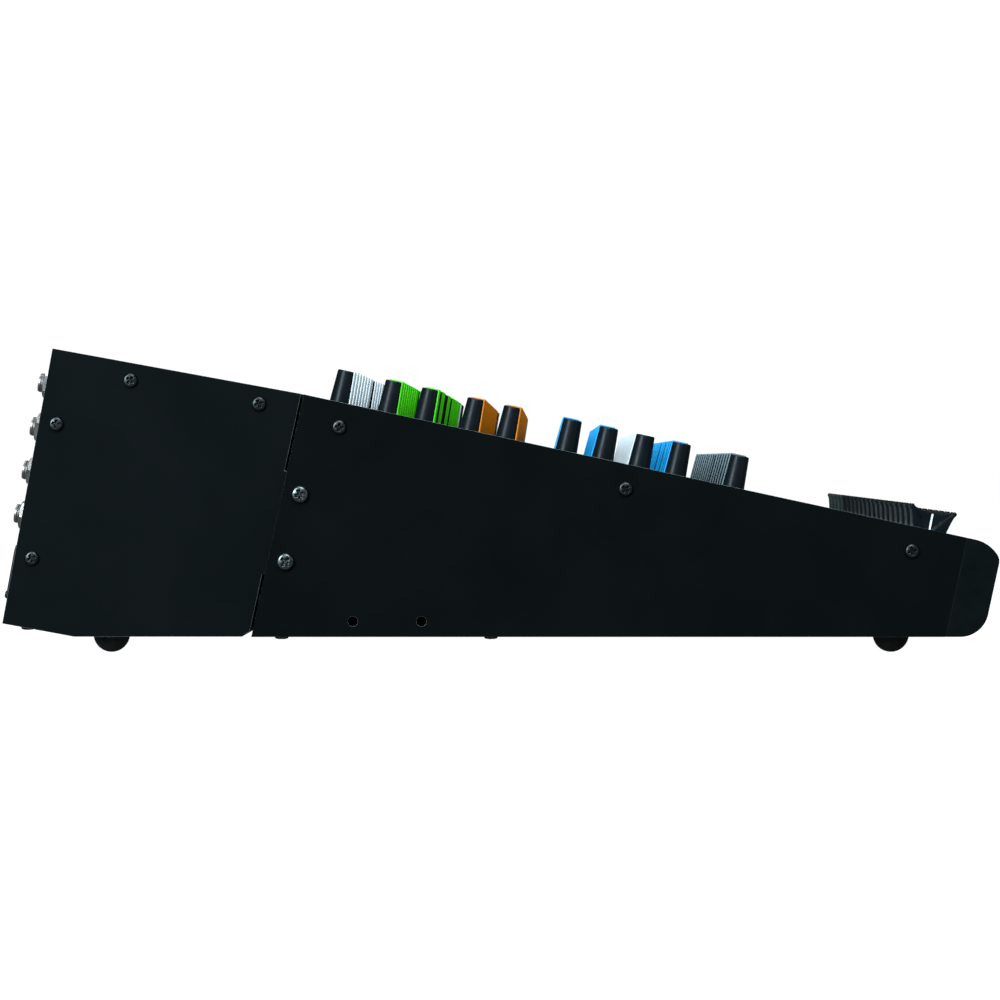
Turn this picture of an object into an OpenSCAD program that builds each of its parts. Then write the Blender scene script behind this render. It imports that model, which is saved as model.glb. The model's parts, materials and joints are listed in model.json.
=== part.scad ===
// Sixteen-channel mixing console: a wedge-shaped main housing with a sloping
// control deck, and a connector pod bolted on behind it.
// X is the width (operator's left is -X), +Y points to the rear, +Z is up,
// and Z = 0 is the table that the rubber feet stand on.

/* [Main housing] */
// Overall width of the console
body_w = 440; // [436:1:530]
// Length of the sloping deck, from the nose seam to the rear seam
deck_l = 308.8; // [304:0.1:380]
// Slope of the deck in degrees
deck_tilt = 12.2; // [10:0.1:14]
// Height of the housing's underside above the table
base_z = 8.4; // [7:0.1:12]
// Height of the front end of the cheeks, from underside to deck edge
front_h = 45.2; // [42:0.1:60]
// Thickness of the cheek plates
cheek_t = 2; // [1.5:0.1:3]
// Thickness of the folded sheet metal
sheet_t = 1.5; // [1:0.1:2]
// How far the deck lies below the edges of the cheeks
deck_drop = 2; // [1.8:0.1:3]
// Height of the deck's turned-down side flanges
flange_h = 18; // [16:1:24]

/* [Nose] */
// Depth of the front nose
nose_t = 16.9; // [15:0.1:24]
// Radius of the nose's broad upper curve
nose_top_r = 16; // [10:0.5:17]
// Radius where that curve meets the front
nose_lip_r = 5.5; // [3:0.5:8]
// Radius of the nose's lower corner
nose_foot_r = 13; // [6:0.5:14]
// Wall of the hollow nose moulding
nose_wall = 2.5; // [2:0.1:4]

/* [Connector pod] */
// Gap between the housing and the pod
pod_gap = 1.4; // [1:0.1:3]
// Slope of the pod's top in degrees
pod_tilt = 10.35; // [9:0.05:12]
// Length of the pod's top
pod_l = 115.2; // [110:0.1:140]
// Height of the jack panel's lower edge above the housing's underside
pod_rise = 6; // [4:0.5:16]
// Thickness of the pod's side plates
pod_side_t = 2; // [1.5:0.1:3]
// Length of the side plate's tab inside the cheek
tab_l = 17; // [15:0.5:20]

/* [Columns and rows] */
// Pitch of the channel strips
strip_pitch = 20.3; // [20:0.1:22]
// Distance from the left side to the first column
first_column = 17; // [16.5:0.1:20]
// Distance of the trim row from the rear seam
trim_s = 16; // [15:0.1:17]
// Distance of the first aux pair from the rear seam
aux_s = 38.5; // [37:0.1:40]
// Distance of the second aux pair from the rear seam
aux_low_s = 77.1; // [75:0.1:79]
// Distance of the equaliser group from the rear seam
eq_s = 122.2; // [120:0.1:124]
// Pitch of the knobs inside a group
knob_step = 17.15; // [16:0.05:17.6]
// Distance of the pan row from the rear seam
pan_s = 201; // [199:0.1:203]

/* [Knobs] */
// Diameter of a knob at its skirt
knob_d = 10.5; // [9:0.1:11.5]
// Diameter of a knob at its top
knob_top_d = 8.8; // [7.5:0.1:9]
// Height of a knob
knob_h = 16.2; // [12:0.1:20]
// Gap between the deck and a knob or a cap
knob_gap = 0.7; // [0.5:0.1:1.2]
// Width of the pointer rib
pointer_w = 2.2; // [1.6:0.1:3]
// How far the pointer rib stands out of the knob
pointer_out = 0.5; // [0.3:0.1:0.8]
// Diameter of a potentiometer shaft
shaft_d = 6; // [5:0.1:6.2]
// Turn of a rotary potentiometer in degrees
knob_sweep = 300; // [270:10:300]

/* [Faders] */
// Travel of a fader
fader_travel = 60; // [45:1:62]
// Distance of a cap's centre from the rear seam at the bottom of its travel
fader_rest_s = 292.6; // [291:0.1:294]
// Length of a cap across its lips
cap_l = 21.2; // [18:0.1:22]
// Length of a cap at its base
cap_base_l = 15.7; // [14:0.1:17]
// Width of a cap
cap_w = 10.5; // [9:0.1:11]
// Height of a cap
cap_h = 11.2; // [10:0.1:14]
// Depth of the finger scoop in a cap
cap_scoop = 2.8; // [1.5:0.1:3.5]
// Width of the fader slot in the deck
slot_w = 2; // [1.8:0.1:3]
// Length of a slide potentiometer beyond its travel
fader_extra = 15; // [13:0.5:18]

/* [Push buttons] */
// Side of a square push button
button_w = 4.4; // [4:0.1:5]
// Height of a released button above the deck
button_up = 1.8; // [1.6:0.1:2.2]
// Travel of a push button
button_travel = 1.5; // [1:0.1:1.6]

/* [Jack panel] */
// Pitch of the connector columns
jack_pitch = 22.4; // [22:0.1:24]
// Distance of the first connector column from the pod's left side
jack_edge = 14; // [13:0.1:18]
// Distance of the first jack row below the panel's top edge
jack_top = 16.4; // [16:0.1:18]
// Pitch of the jack rows
jack_row_pitch = 20.4; // [19:0.1:21]
// Distance of the XLR row below the panel's top edge
xlr_row = 104; // [102:0.1:106]
// Diameter of the bore of a phone jack
jack_bore_d = 6.4; // [6.35:0.01:6.5]
// Diameter of a jack's threaded bushing
bushing_d = 9; // [8.8:0.1:9.4]
// Height of a jack's bushing above the panel
bushing_out = 5.4; // [4:0.1:6]
// Width of a jack nut across its flats
nut_af = 12; // [11:0.1:13]
// Depth of the connector bodies behind the panel
socket_depth = 24; // [20:0.5:26]
// Width of the mains inlet's opening
inlet_w = 25; // [24:0.1:26]
// Height of the mains inlet's opening
inlet_h = 17; // [16:0.1:18]

/* [Fasteners and feet] */
// Head diameter of the small case screws
screw_head_d = 6.6; // [5.5:0.1:7]
// Shank diameter of the small case screws
screw_d = 3; // [2.5:0.1:3.5]
// Head diameter of the pod bolts
bolt_head_d = 8; // [7:0.1:9]
// Shank diameter of the pod bolts
bolt_d = 4; // [3.5:0.1:4.2]
// Diameter of the pod bolt holes in the cheeks
pod_hole_d = 4.6; // [4.4:0.1:5]
// Spacing of each pair of pod bolt holes
pod_hole_pitch = 31.3; // [28:0.1:34]
// Diameter of a foot
foot_d = 15; // [12:0.5:18]
// Distance of the feet from the sides
foot_inset = 25; // [18:0.5:40]
// Distance of the front feet behind the nose's lower edge
foot_front = 22; // [16:0.5:40]
// Distance of the rear feet in front of the bend in the pod's base
foot_rear = 13.7; // [9:0.1:40]

/* [Hidden] */
$fn = 48;
eps = 0.01;
fit = 0.05;             // radial running clearance of shafts and screws
slip = 0.3;             // clearance between curved faces of different bodies
mask_clear = 0.2;       // clearance round buttons and windows

// Each channel strip's fader is a body of its own, so their number is fixed.
strips = 16;

// Main housing: seam_y places the whole console so that its depth is centred.
seam_z = base_z + front_h;
inner_x = body_w / 2 - cheek_t;
pod_inner_x = inner_x - pod_side_t;
column_count = strips + 4;
function nose_c1() = [nose_lip_r - nose_t + (nose_top_r - nose_lip_r) * sin(45), -nose_top_r];
function nose_c2() = nose_c1() + (nose_top_r - nose_lip_r) * [-sin(45), cos(45)];
function turned(p, a) = [p[0] * cos(a) - p[1] * sin(a), p[0] * sin(a) + p[1] * cos(a)];
front_reach = turned(nose_c2(), deck_tilt)[0] - nose_lip_r;
pod_start = turned([deck_l + pod_gap, 0], deck_tilt);
pod_h = (front_h + pod_start[1] + pod_l * sin(pod_tilt) - pod_rise) / cos(pod_tilt);
pod_rear = pod_start + turned([pod_l, -pod_h], pod_tilt);
seam_y = -(front_reach + pod_rear[0]) / 2;
seam = [seam_y, seam_z];

// Points of the side profiles in Y and Z, from deck or pod coordinates.
function deck_pt(y, z) = seam + turned([y, z], deck_tilt);
function pod_pt(y, z) = seam + pod_start + turned([y, z], pod_tilt);
function drop_to(p, z, a) = [p[0] + (p[1] - z) * tan(a), z];
function arc(c, r, a0, a1, n) = [for (i = [0:n]) c + r * [cos(a0 + (a1 - a0) * i / n), sin(a0 + (a1 - a0) * i / n)]];

nose_low = drop_to(deck_pt(0, 0), base_z, deck_tilt);
rear_low = drop_to(deck_pt(deck_l, 0), base_z, deck_tilt);
pod_front_low = [rear_low[0] + pod_gap / cos(deck_tilt), base_z];
pod_kink = [pod_pt(pod_l, -pod_h)[0] - (pod_pt(pod_l, -pod_h)[1] - base_z) / tan(pod_tilt), base_z];

// Places along the deck, measured up the slope from the nose seam.
function row_y(s) = deck_l - s;
function column_x(i) = -body_w / 2 + first_column + strip_pitch * i;
knob_rows = [trim_s, aux_s, aux_s + knob_step, aux_low_s, aux_low_s + knob_step,
             eq_s, eq_s + knob_step, eq_s + 2 * knob_step, eq_s + 3 * knob_step, pan_s];
first_centred_row = 5;
master_rows = [1, 2, 3, 4];
master_columns = [strips, strips + 1, strips + 2];
deck_under = -deck_drop - sheet_t;
knob_base = -deck_drop + knob_gap;

// Potentiometers hang under the deck on the main board.
pot_w = 9.6;
pot_h = 6;
pot_bushing_d = shaft_d + 1;
board_t = 1.6;
board_top = deck_under - pot_h;
shaft_foot = board_top + 1;
fader_x = -2.8;
fader_w = 8.6;
fader_slot_end = 0.8;
stem_t = 1.2;
stem_l = 5;
stem_foot = deck_under - 4;
function fader_y(at = 0) = row_y(fader_rest_s) + at;

// Buttons: one column on the strip's centre line, one beside the fader.
button_s = [trim_s + 11.3, aux_low_s - 10.6, aux_low_s + knob_step + 14, pan_s + 14.6];
assign_s = [fader_rest_s - 50, fader_rest_s - 37, fader_rest_s - 24, fader_rest_s - 11];
assign_x = 6.7;
button_foot = deck_under - 1;
switch_w = 6;
function angle_of(row) = row < first_centred_row ? knob_sweep / 2 : 0;

// Meter in the free column at the right.
meter_x = body_w / 2 - first_column - 1;
meter_w = 12;
meter_l = 86;
meter_s = 150;

// Side screws: three along each cheek, four along the pod's edges.
screw_inset = 11.2;
cheek_screws = [for (s = [19, 152.3, 285.6]) row_y(s)];
screw_head_h = 1.9;
screw_clear = 0.4;        // screw holes are this much wider than the shanks
pod_screws = [[pod_l - 37.6, -8], [18, -8], [pod_l - 8, -33.6], [pod_l - 8, -95.8]];
bolt_head_h = 2.6;
bolt_inset = 8;
bolt_drop = [44.9, 44.9 + pod_hole_pitch];
spare_y = [rear_low[0] - 46.2, rear_low[0] - 46.2 - pod_hole_pitch];
spare_z = base_z + 7.1;
base_flange_h = 13;
rear_flange_h = 88;       // the deck panel's rear wall reaches this far down
gate_x = 120;             // half width of the gate in that wall for the ribbon cables
gate_z = [-78, -50];
gate_mid = (gate_z[0] + gate_z[1]) / 2;
pod_toe = [3, 2.5];       // the pod plates' lower front corner is cut off by this much
pod_flange = 14;
tab_low = 37;
tab_high = 84;
nut_plate_t = 2.4;
screw_reach = 6;
base_screw_y = [rear_low[0] - 12.6, rear_low[0] - 108.8];
base_screw_x = inner_x - 12;
pod_screw_y = pod_l - 10;

// Cable cover: bridges the gap under the ribbon cables.
cover_x = 110;
cover_t = 1.2;
cover_y = [rear_low[0] - 86, rear_low[0] + 14];

// Jack panel.
jack_columns = 16;
jack_rows = 4;
upper_columns = 14;
jack_body_w = 13;
jack_nut_t = 2.4;
washer_t = 0.5;
xlr_flange = [21.6, 25.6, 1.2];
xlr_r = 10.2;
xlr_mouth_r = 9.5;
xlr_core_r = 7.4;
xlr_throat = 11;
xlr_sides = 16;
inlet_x = body_w / 2 - 36;
inlet_s = 27;
inlet_depth = 16;
rocker_s = 60;
rocker_w = 13;
rocker_h = 19;
rocker_tilt = 12;
rocker_r = 26;
rca_s = [jack_top + jack_row_pitch * 2 + 4, jack_top + jack_row_pitch * 3 + 3];
jack_board_t = 1.6;
rca_body = [11, 12];
rca_d = 8.3;
rca_bore_d = 3.3;
rca_bore_depth = 8;
inlet_rim = [4, 2];       // the inlet's flange: width beyond the opening and thickness
inlet_wall = 1.4;
rca_x = [for (gap = [7.5, 21.5]) inlet_x - inlet_w / 2 - inlet_rim[0] - gap];
inlet_body = 20;
inlet_cut = 5;            // the opening's two upper corners are cut off by this much
inlet_pins = [[-7, 2.5], [7, 2.5], [0, -1.5]];
inlet_pin = [2, 4, 5];    // width, height, and how deep in the opening the tip ends
rocker_rim = [3, 1.6];
rocker_body = 16;
rocker_room = 13;
rocker_form = [16.6, 12, 6, 1.6];  // length, length at the foot, height each way, hollow of the face

function jack_x(i) = -body_w / 2 + cheek_t + jack_edge + jack_pitch * i;
function jack_s(r) = jack_top + jack_row_pitch * r;
function columns_in(r) = r < 2 ? upper_columns : jack_columns;

channel_knobs = ["trim_knob", "aux_1_knob", "aux_2_knob", "aux_3_knob", "aux_4_knob",
                 "treble_knob", "middle_knob", "sweep_knob", "bass_knob", "pan_knob"];
fader_caps = [for (i = [1:strips]) str("fader_cap_", i)];
master_caps = ["group_cap_1", "group_cap_2", "group_cap_3", "main_cap"];

module on_deck() translate([0, seam_y, seam_z]) rotate([deck_tilt, 0, 0]) children();
module on_pod() translate([0, seam_y + pod_start[0], seam_z + pod_start[1]]) rotate([pod_tilt, 0, 0]) children();
module on_jacks() on_pod() translate([0, pod_l, 0]) rotate([-90, 0, 0]) children();
module slab(x0, x1) translate([x0, 0, 0]) rotate([90, 0, 90]) linear_extrude(x1 - x0) children();
module bar(x, y, z) translate([x[0], y[0], z[0]]) cube([x[1] - x[0], y[1] - y[0], z[1] - z[0]]);
module block(w, h, rim, z) bar([-w / 2 - rim, w / 2 + rim], [-h / 2 - rim, h / 2 + rim], z);
module both_sides() { children(); mirror([1, 0, 0]) children(); }

// ---- Main housing ----
module cheek_outline() polygon([deck_pt(0, 0), deck_pt(deck_l, 0), rear_low, nose_low]);

module cheek_plate() slab(-body_w / 2, -inner_x) difference() {
    cheek_outline();
    for (y = cheek_screws) translate(deck_pt(y, -screw_inset)) circle(d = screw_d + screw_clear);
    for (d = bolt_drop) translate(deck_pt(deck_l - bolt_inset, -d)) circle(d = pod_hole_d);
    for (y = spare_y) translate([y, spare_z]) circle(d = pod_hole_d);
}

module left_cheek() color("#131819") cheek_plate();
module right_cheek() color("#131819") mirror([1, 0, 0]) cheek_plate();

module button_holes(x, s) for (at = s) translate([x, row_y(at)])
    square(button_w + 2 * mask_clear, center = true);

module deck_holes() {
    for (i = [0:strips - 1]) {
        for (s = knob_rows) translate([column_x(i), row_y(s)]) circle(d = pot_bushing_d + 2 * fit);
        button_holes(column_x(i), button_s);
        button_holes(column_x(i) + assign_x, assign_s);
    }
    for (i = master_columns, r = master_rows)
        translate([column_x(i), row_y(knob_rows[r])]) circle(d = pot_bushing_d + 2 * fit);
    for (i = master_columns) button_holes(column_x(i), button_s);
    for (i = [0:column_count - 1])
        translate([column_x(i) + fader_x, fader_y(fader_travel / 2)])
            square([slot_w, fader_travel + stem_l + 2 * fader_slot_end], center = true);
    translate([meter_x, row_y(meter_s)]) square([meter_w, meter_l], center = true);
}

module deck_panel() color("#1b2125") difference() {
    union() {
        on_deck() {
            translate([0, 0, deck_under]) linear_extrude(sheet_t) difference() {
                translate([-inner_x, 0]) square([2 * inner_x, deck_l]);
                deck_holes();
            }
            both_sides() bar([-inner_x, -inner_x + sheet_t], [0, deck_l], [-flange_h, deck_under]);
            bar([-inner_x + sheet_t, inner_x - sheet_t], [0, sheet_t], [-flange_h, deck_under]);
            difference() {
                bar([slip - pod_inner_x, pod_inner_x - slip], [deck_l - sheet_t, deck_l], [-rear_flange_h, deck_under]);
                bar([-gate_x, gate_x], [deck_l - sheet_t - 1, deck_l + 1], gate_z);
            }
        }
    }
    for (y = cheek_screws) translate([0, deck_pt(y, -screw_inset)[0], deck_pt(y, -screw_inset)[1]])
        rotate([0, 90, 0]) cylinder(d = screw_d + 2 * fit, h = body_w + 2, center = true);
}

module base_plate() color("#101415") difference() {
    union() {
        slab(-inner_x, inner_x) polygon([nose_low, rear_low, rear_low + sheet_t * [-tan(deck_tilt), 1],
                                         nose_low + sheet_t * [-tan(deck_tilt), 1]]);
        both_sides() slab(-inner_x, -inner_x + sheet_t)
            polygon([nose_low + sheet_t * [-tan(deck_tilt), 1], rear_low + sheet_t * [-tan(deck_tilt), 1],
                     rear_low + base_flange_h * [-tan(deck_tilt), 1], nose_low + base_flange_h * [-tan(deck_tilt), 1]]);
    }
    for (y = spare_y) translate([0, y, spare_z]) rotate([0, 90, 0])
        cylinder(d = pod_hole_d, h = body_w, center = true);
    for (x = [-1, 1] * base_screw_x, y = base_screw_y) translate([x, y, base_z - 1])
        cylinder(d = screw_d + 2 * fit, h = sheet_t + 2);
}

// Angles are in deck coordinates: 90 degrees is straight up from the deck.
module nose_outline() {
    low = turned(nose_low - seam, -deck_tilt);
    front_low = [-nose_t, low[1] + (low[0] + nose_t) * tan(deck_tilt)];
    corner = 90 + deck_tilt;
    reach = nose_foot_r / tan(corner / 2);
    foot_c = [-nose_t + nose_foot_r, front_low[1] + reach];
    translate(seam) rotate(deck_tilt) polygon(concat(
        [[0, 0]],
        arc(nose_c1(), nose_top_r, 90, 135, 10),
        arc(nose_c2(), nose_lip_r, 135, 180, 8),
        arc(foot_c, nose_foot_r, 180, 270 - deck_tilt, 14),
        [low]));
}

module front_nose() color("#161d1e") {
    slab(-body_w / 2 + nose_wall, body_w / 2 - nose_wall) difference() {
        nose_outline();
        difference() {
            offset(delta = -nose_wall) nose_outline();
            translate(seam) rotate(deck_tilt) translate([-sheet_t, -60]) square([20, 120]);
        }
    }
    for (x = [-body_w / 2, body_w / 2 - nose_wall]) slab(x, x + nose_wall) nose_outline();
}

// ---- Connector pod ----
module pod_outline() {
    rear = pod_pt(pod_l, 0);
    low = pod_pt(pod_l, -pod_h);
    front = pod_front_low + [pod_toe[0], 0];
    difference() {
        polygon([pod_pt(0, 0), rear, low, pod_kink, front, pod_front_low + pod_toe[1] * [-tan(deck_tilt), 1]]);
        translate(seam) rotate(deck_tilt) translate([deck_l - 20, -200]) square([20 + pod_gap, 220]);
    }
}

module pod_tab() intersection() {
    translate(seam) rotate(deck_tilt) translate([deck_l - tab_l, -130]) square([tab_l + pod_gap + 5, 130]);
    translate([0, tab_low]) square([300, tab_high - tab_low]);
}

module pod_plate() difference() {
    union() {
        slab(-inner_x, -inner_x + pod_side_t) difference() {
            union() { pod_outline(); pod_tab(); }
            for (p = pod_screws) translate(pod_pt(p[0], p[1])) circle(d = screw_d + screw_clear);
        }
        for (d = bolt_drop) translate([-inner_x + pod_side_t, deck_pt(deck_l - bolt_inset, -d)[0],
                                       deck_pt(deck_l - bolt_inset, -d)[1]])
            rotate([0, 90, 0]) cylinder(d = bolt_head_d, h = nut_plate_t);
    }
    for (d = bolt_drop) translate([-inner_x - 1, deck_pt(deck_l - bolt_inset, -d)[0],
                                   deck_pt(deck_l - bolt_inset, -d)[1]])
        rotate([0, 90, 0]) cylinder(d = bolt_d + 2 * fit, h = pod_side_t + nut_plate_t + 2);
}

module pod_left_plate() color("#171c1f") pod_plate();
module pod_right_plate() color("#171c1f") mirror([1, 0, 0]) pod_plate();

module panel_holes() {
    for (r = [0:jack_rows - 1], i = [0:columns_in(r) - 1])
        translate([jack_x(i), jack_s(r)]) circle(d = bushing_d + 2 * fit);
    for (i = [0:jack_columns - 1]) translate([jack_x(i), xlr_row]) circle(r = xlr_r + fit);
    for (x = rca_x, s = rca_s) translate([x, s]) circle(d = bushing_d + 2 * fit);
    translate([inlet_x, inlet_s]) square([inlet_w, inlet_h] + 2 * (inlet_wall + fit) * [1, 1], center = true);
    translate([inlet_x, rocker_s]) square([rocker_w, rocker_h] + 2 * (inlet_wall + fit) * [1, 1], center = true);
}

module jack_panel() color("#15191c") difference() {
    union() {
        on_pod() bar([-pod_inner_x, pod_inner_x], [1, pod_l - sheet_t], [-sheet_t, 0]);
        on_jacks() translate([0, 0, -sheet_t]) linear_extrude(sheet_t) difference() {
            translate([-pod_inner_x, 0]) square([2 * pod_inner_x, pod_h]);
            panel_holes();
        }
        on_pod() both_sides() {
            bar([-pod_inner_x, -pod_inner_x + sheet_t], [1, pod_l - sheet_t], [-pod_flange, -sheet_t]);
            bar([-pod_inner_x, -pod_inner_x + sheet_t], [pod_l - pod_flange, pod_l - sheet_t], [pod_flange / 2 - pod_h, -pod_flange]);
        }
    }
    on_pod() for (p = pod_screws) translate([0, p[0], p[1]]) rotate([0, 90, 0])
        cylinder(d = screw_d + 2 * fit, h = body_w + 2, center = true);
}

module cable_cover() color("#0d1011")
    bar([-cover_x, cover_x], cover_y, [base_z - cover_t, base_z]);

module pod_base() color("#101415") difference() {
    pod_base_sheet();
    on_pod() for (x = [-1, 1] * base_screw_x) translate([x, pod_screw_y, -pod_h - 1])
        cylinder(d = screw_d + 2 * fit, h = sheet_t + 2);
}

module pod_base_sheet() {
    rise = [-sin(pod_tilt), cos(pod_tilt)] * sheet_t;
    heel = pod_pt(pod_l - sheet_t - fit, -pod_h);
    slab(-pod_inner_x, pod_inner_x) polygon([
        pod_front_low + [pod_toe[0], 0], pod_kink, heel, heel + rise,
        pod_kink + [rise[0] * tan(pod_tilt / 2), sheet_t], pod_front_low + [pod_toe[0], sheet_t]]);
}

// ---- Feet and fasteners ----
foot_y = [nose_low[0] + foot_front, pod_kink[0] - foot_rear];
module foot(y) translate([body_w / 2 - foot_inset, y, 0]) rotate_extrude() difference() {
    intersection() {
        square([foot_d / 2, base_z]);
        union() {
            translate([0, foot_d * 0.62]) circle(r = foot_d * 0.64, $fn = 96);
            translate([0, base_z - 3]) square([foot_d / 2, 3]);
        }
    }
}
module rubber_feet() color("#1e2122") both_sides() for (y = foot_y) foot(y);

module pan_screw(head_d, head_h, shank_d, shank_l) difference() {
    union() {
        rotate_extrude() intersection() {
            square([head_d / 2, head_h]);
            translate([0, head_h - head_d * 0.8]) circle(r = head_d * 0.8, $fn = 96);
        }
        translate([0, 0, -shank_l]) cylinder(d = shank_d, h = shank_l + eps);
    }
    for (a = [0, 90]) rotate(a) translate([0, 0, head_h]) cube([head_d * 0.56, head_d * 0.13, 2 * head_h * 0.7], center = true);
}

module left_side_screws() {
    for (y = cheek_screws) translate([-body_w / 2, deck_pt(y, -screw_inset)[0], deck_pt(y, -screw_inset)[1]])
        rotate([0, -90, 0]) pan_screw(screw_head_d, screw_head_h, screw_d, screw_reach);
    on_pod() for (p = pod_screws) translate([-inner_x, p[0], p[1]])
        rotate([0, -90, 0]) pan_screw(screw_head_d, screw_head_h, screw_d, screw_reach);
}

module case_screws() color("#3a3f42") {
    both_sides() left_side_screws();
    for (x = [-1, 1] * base_screw_x, y = base_screw_y) translate([x, y, base_z])
        rotate([180, 0, 0]) pan_screw(screw_head_d, screw_head_h, screw_d, screw_reach);
    on_pod() for (x = [-1, 1] * base_screw_x) translate([x, pod_screw_y, -pod_h])
        rotate([180, 0, 0]) pan_screw(screw_head_d, screw_head_h, screw_d, screw_reach);
}

module pod_bolts() color("#6f7678") both_sides() for (d = bolt_drop)
    translate([-body_w / 2, deck_pt(deck_l - bolt_inset, -d)[0], deck_pt(deck_l - bolt_inset, -d)[1]])
        rotate([0, -90, 0]) pan_screw(bolt_head_d, bolt_head_h, bolt_d, screw_reach + 3);

// ---- Inner pieces ----
board_edge = 5;
module switch_at(x, s) translate([x, row_y(s), 0])
    bar([-switch_w / 2, switch_w / 2], [-switch_w / 2, switch_w / 2],
        [board_top - eps, button_foot - button_travel - slip]);

module main_board() color("#1d5a37") on_deck() {
    bar([-inner_x + board_edge, inner_x - board_edge], [board_edge, deck_l - board_edge],
        [board_top - board_t, board_top]);
    for (i = [0:strips - 1]) {
        for (s = button_s) switch_at(column_x(i), s);
        for (s = assign_s) switch_at(column_x(i) + assign_x, s);
    }
    for (i = master_columns, s = button_s) switch_at(column_x(i), s);
}

jack_board_z = -sheet_t - socket_depth;
module jack_board() color("#1d5a37") on_jacks()
    bar([-pod_inner_x + board_edge, jack_x(jack_columns - 1) + 11], [board_edge + 1, xlr_row + 13],
        [jack_board_z - jack_board_t, jack_board_z]);

power_size = [75, 38, 30];
coil_size = [34, 16];
power_at = [120, pod_front_low[0] + 14, base_z + sheet_t];
module power_unit() color("#8f979c") translate(power_at) {
    cube(power_size);
    translate([power_size[0] / 2, power_size[1] / 2, power_size[2]]) cylinder(d = coil_size[0], h = coil_size[1]);
}

ribbon_w = 44;
ribbon_t = 1.2;
ribbon_x = [-90, 0, 90];
ribbon_s = [24, 12, -8];  // from the rear seam: under the board, before the gate and behind it
ribbon_end = 78;
module ribbon_cables() color("#9aa3a6") for (x = ribbon_x) slab(x - ribbon_w / 2, x + ribbon_w / 2) {
    start = deck_pt(deck_l - ribbon_s[0], board_top - board_t);
    gate = deck_pt(deck_l - ribbon_s[1], gate_mid);
    out = deck_pt(deck_l - ribbon_s[2], gate_mid);
    end = pod_pt(pod_l - sheet_t - socket_depth - jack_board_t - slip, -ribbon_end);
    polygon([start, start + [ribbon_t, 0], gate + [ribbon_t, ribbon_t], out + [0, ribbon_t],
             end + [-fit, ribbon_t], end + [-fit, 0], out, gate]);
}

module slide_pots() color("#5d6468") on_deck() for (i = [0:column_count - 1])
    translate([column_x(i) + fader_x, fader_y(fader_travel / 2), deck_under - pot_h]) difference() {
        translate([-fader_w / 2, -(fader_travel + fader_extra) / 2, 0]) cube([fader_w, fader_travel + fader_extra, pot_h]);
        translate([-slot_w / 2, -(fader_travel + stem_l) / 2 - fader_slot_end, 1])
            cube([slot_w, fader_travel + stem_l + 2 * fader_slot_end, pot_h]);
    }

module pot_body(x, row) translate([x, row_y(knob_rows[row]), 0]) difference() {
    union() {
        bar([-pot_w / 2, pot_w / 2], [-pot_w / 2, pot_w / 2], [board_top, deck_under]);
        translate([0, 0, deck_under - eps]) cylinder(d = pot_bushing_d, h = sheet_t + eps);
    }
    translate([0, 0, shaft_foot - fit]) cylinder(d = shaft_d + 2 * fit, h = 20);
}

module rotary_pots() color("#4f5659") on_deck() {
    for (i = [0:strips - 1], r = [0:len(knob_rows) - 1]) pot_body(column_x(i), r);
    for (i = master_columns, r = master_rows) pot_body(column_x(i), r);
}

// ---- Knobs, caps and buttons ----
module knob(x, row) translate([x, row_y(knob_rows[row]), 0]) rotate(angle_of(row)) {
    translate([0, 0, knob_base]) {
        cylinder(d1 = knob_d, d2 = knob_top_d, h = knob_h);
        translate([-pointer_w / 2, 0, 0]) rotate([90, 0, 90]) linear_extrude(pointer_w)
            polygon([[knob_top_d * 0.1, knob_h - 1], [knob_d / 2 - 1, 0], [knob_d / 2 + pointer_out, 0],
                     [knob_top_d / 2 + pointer_out, knob_h], [knob_top_d / 2 - 0.2, knob_h + pointer_out],
                     [-knob_top_d * 0.3, knob_h + pointer_out]]);
    }
    translate([0, 0, shaft_foot]) cylinder(d = shaft_d, h = knob_base - shaft_foot + 1);
}

module panel_knobs() color("#1c2126") on_deck() {
    for (i = [1:strips - 1], r = [0:len(knob_rows) - 1]) knob(column_x(i), r);
    for (i = master_columns, r = master_rows) knob(column_x(i), r);
}

module button(x, s) translate([x, row_y(s), 0])
    bar([-button_w / 2, button_w / 2], [-button_w / 2, button_w / 2], [button_foot, -deck_drop + button_up]);

module panel_buttons() color("#c9cdcc") on_deck() {
    for (i = [0:strips - 1]) {
        for (b = [0:len(button_s) - 1]) if (i > 0 || (b != 0 && b != 3)) button(column_x(i), button_s[b]);
        for (s = assign_s) button(column_x(i) + assign_x, s);
    }
    for (i = master_columns, s = button_s) button(column_x(i), s);
}

module low_cut_button() color("#c9cdcc") on_deck() button(column_x(0), button_s[0]);
module mute_button() color("#c9cdcc") on_deck() button(column_x(0), button_s[3]);

module cap_profile() {
    scoop_half = cap_l / 2 - 1.6;
    scoop_r = (scoop_half * scoop_half + cap_scoop * cap_scoop) / (2 * cap_scoop);
    difference() {
        polygon([[-cap_base_l / 2, 0], [cap_base_l / 2, 0], [cap_l / 2 - 1.7, cap_h - 2.8],
                 [cap_l / 2, cap_h - 1.3], [cap_l / 2 - 0.9, cap_h], [-cap_l / 2 + 0.9, cap_h],
                 [-cap_l / 2, cap_h - 1.3], [-cap_l / 2 + 1.7, cap_h - 2.8]]);
        translate([0, cap_h - cap_scoop + scoop_r]) circle(r = scoop_r, $fn = 96);
    }
}

module fader_cap(column) on_deck() translate([column_x(column) + fader_x, fader_y(), 0]) {
    translate([-cap_w / 2, 0, -deck_drop + 1]) rotate([90, 0, 90]) linear_extrude(cap_w) cap_profile();
    bar([-stem_t / 2, stem_t / 2], [-stem_l / 2, stem_l / 2], [stem_foot, -deck_drop + 2]);
}

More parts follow.
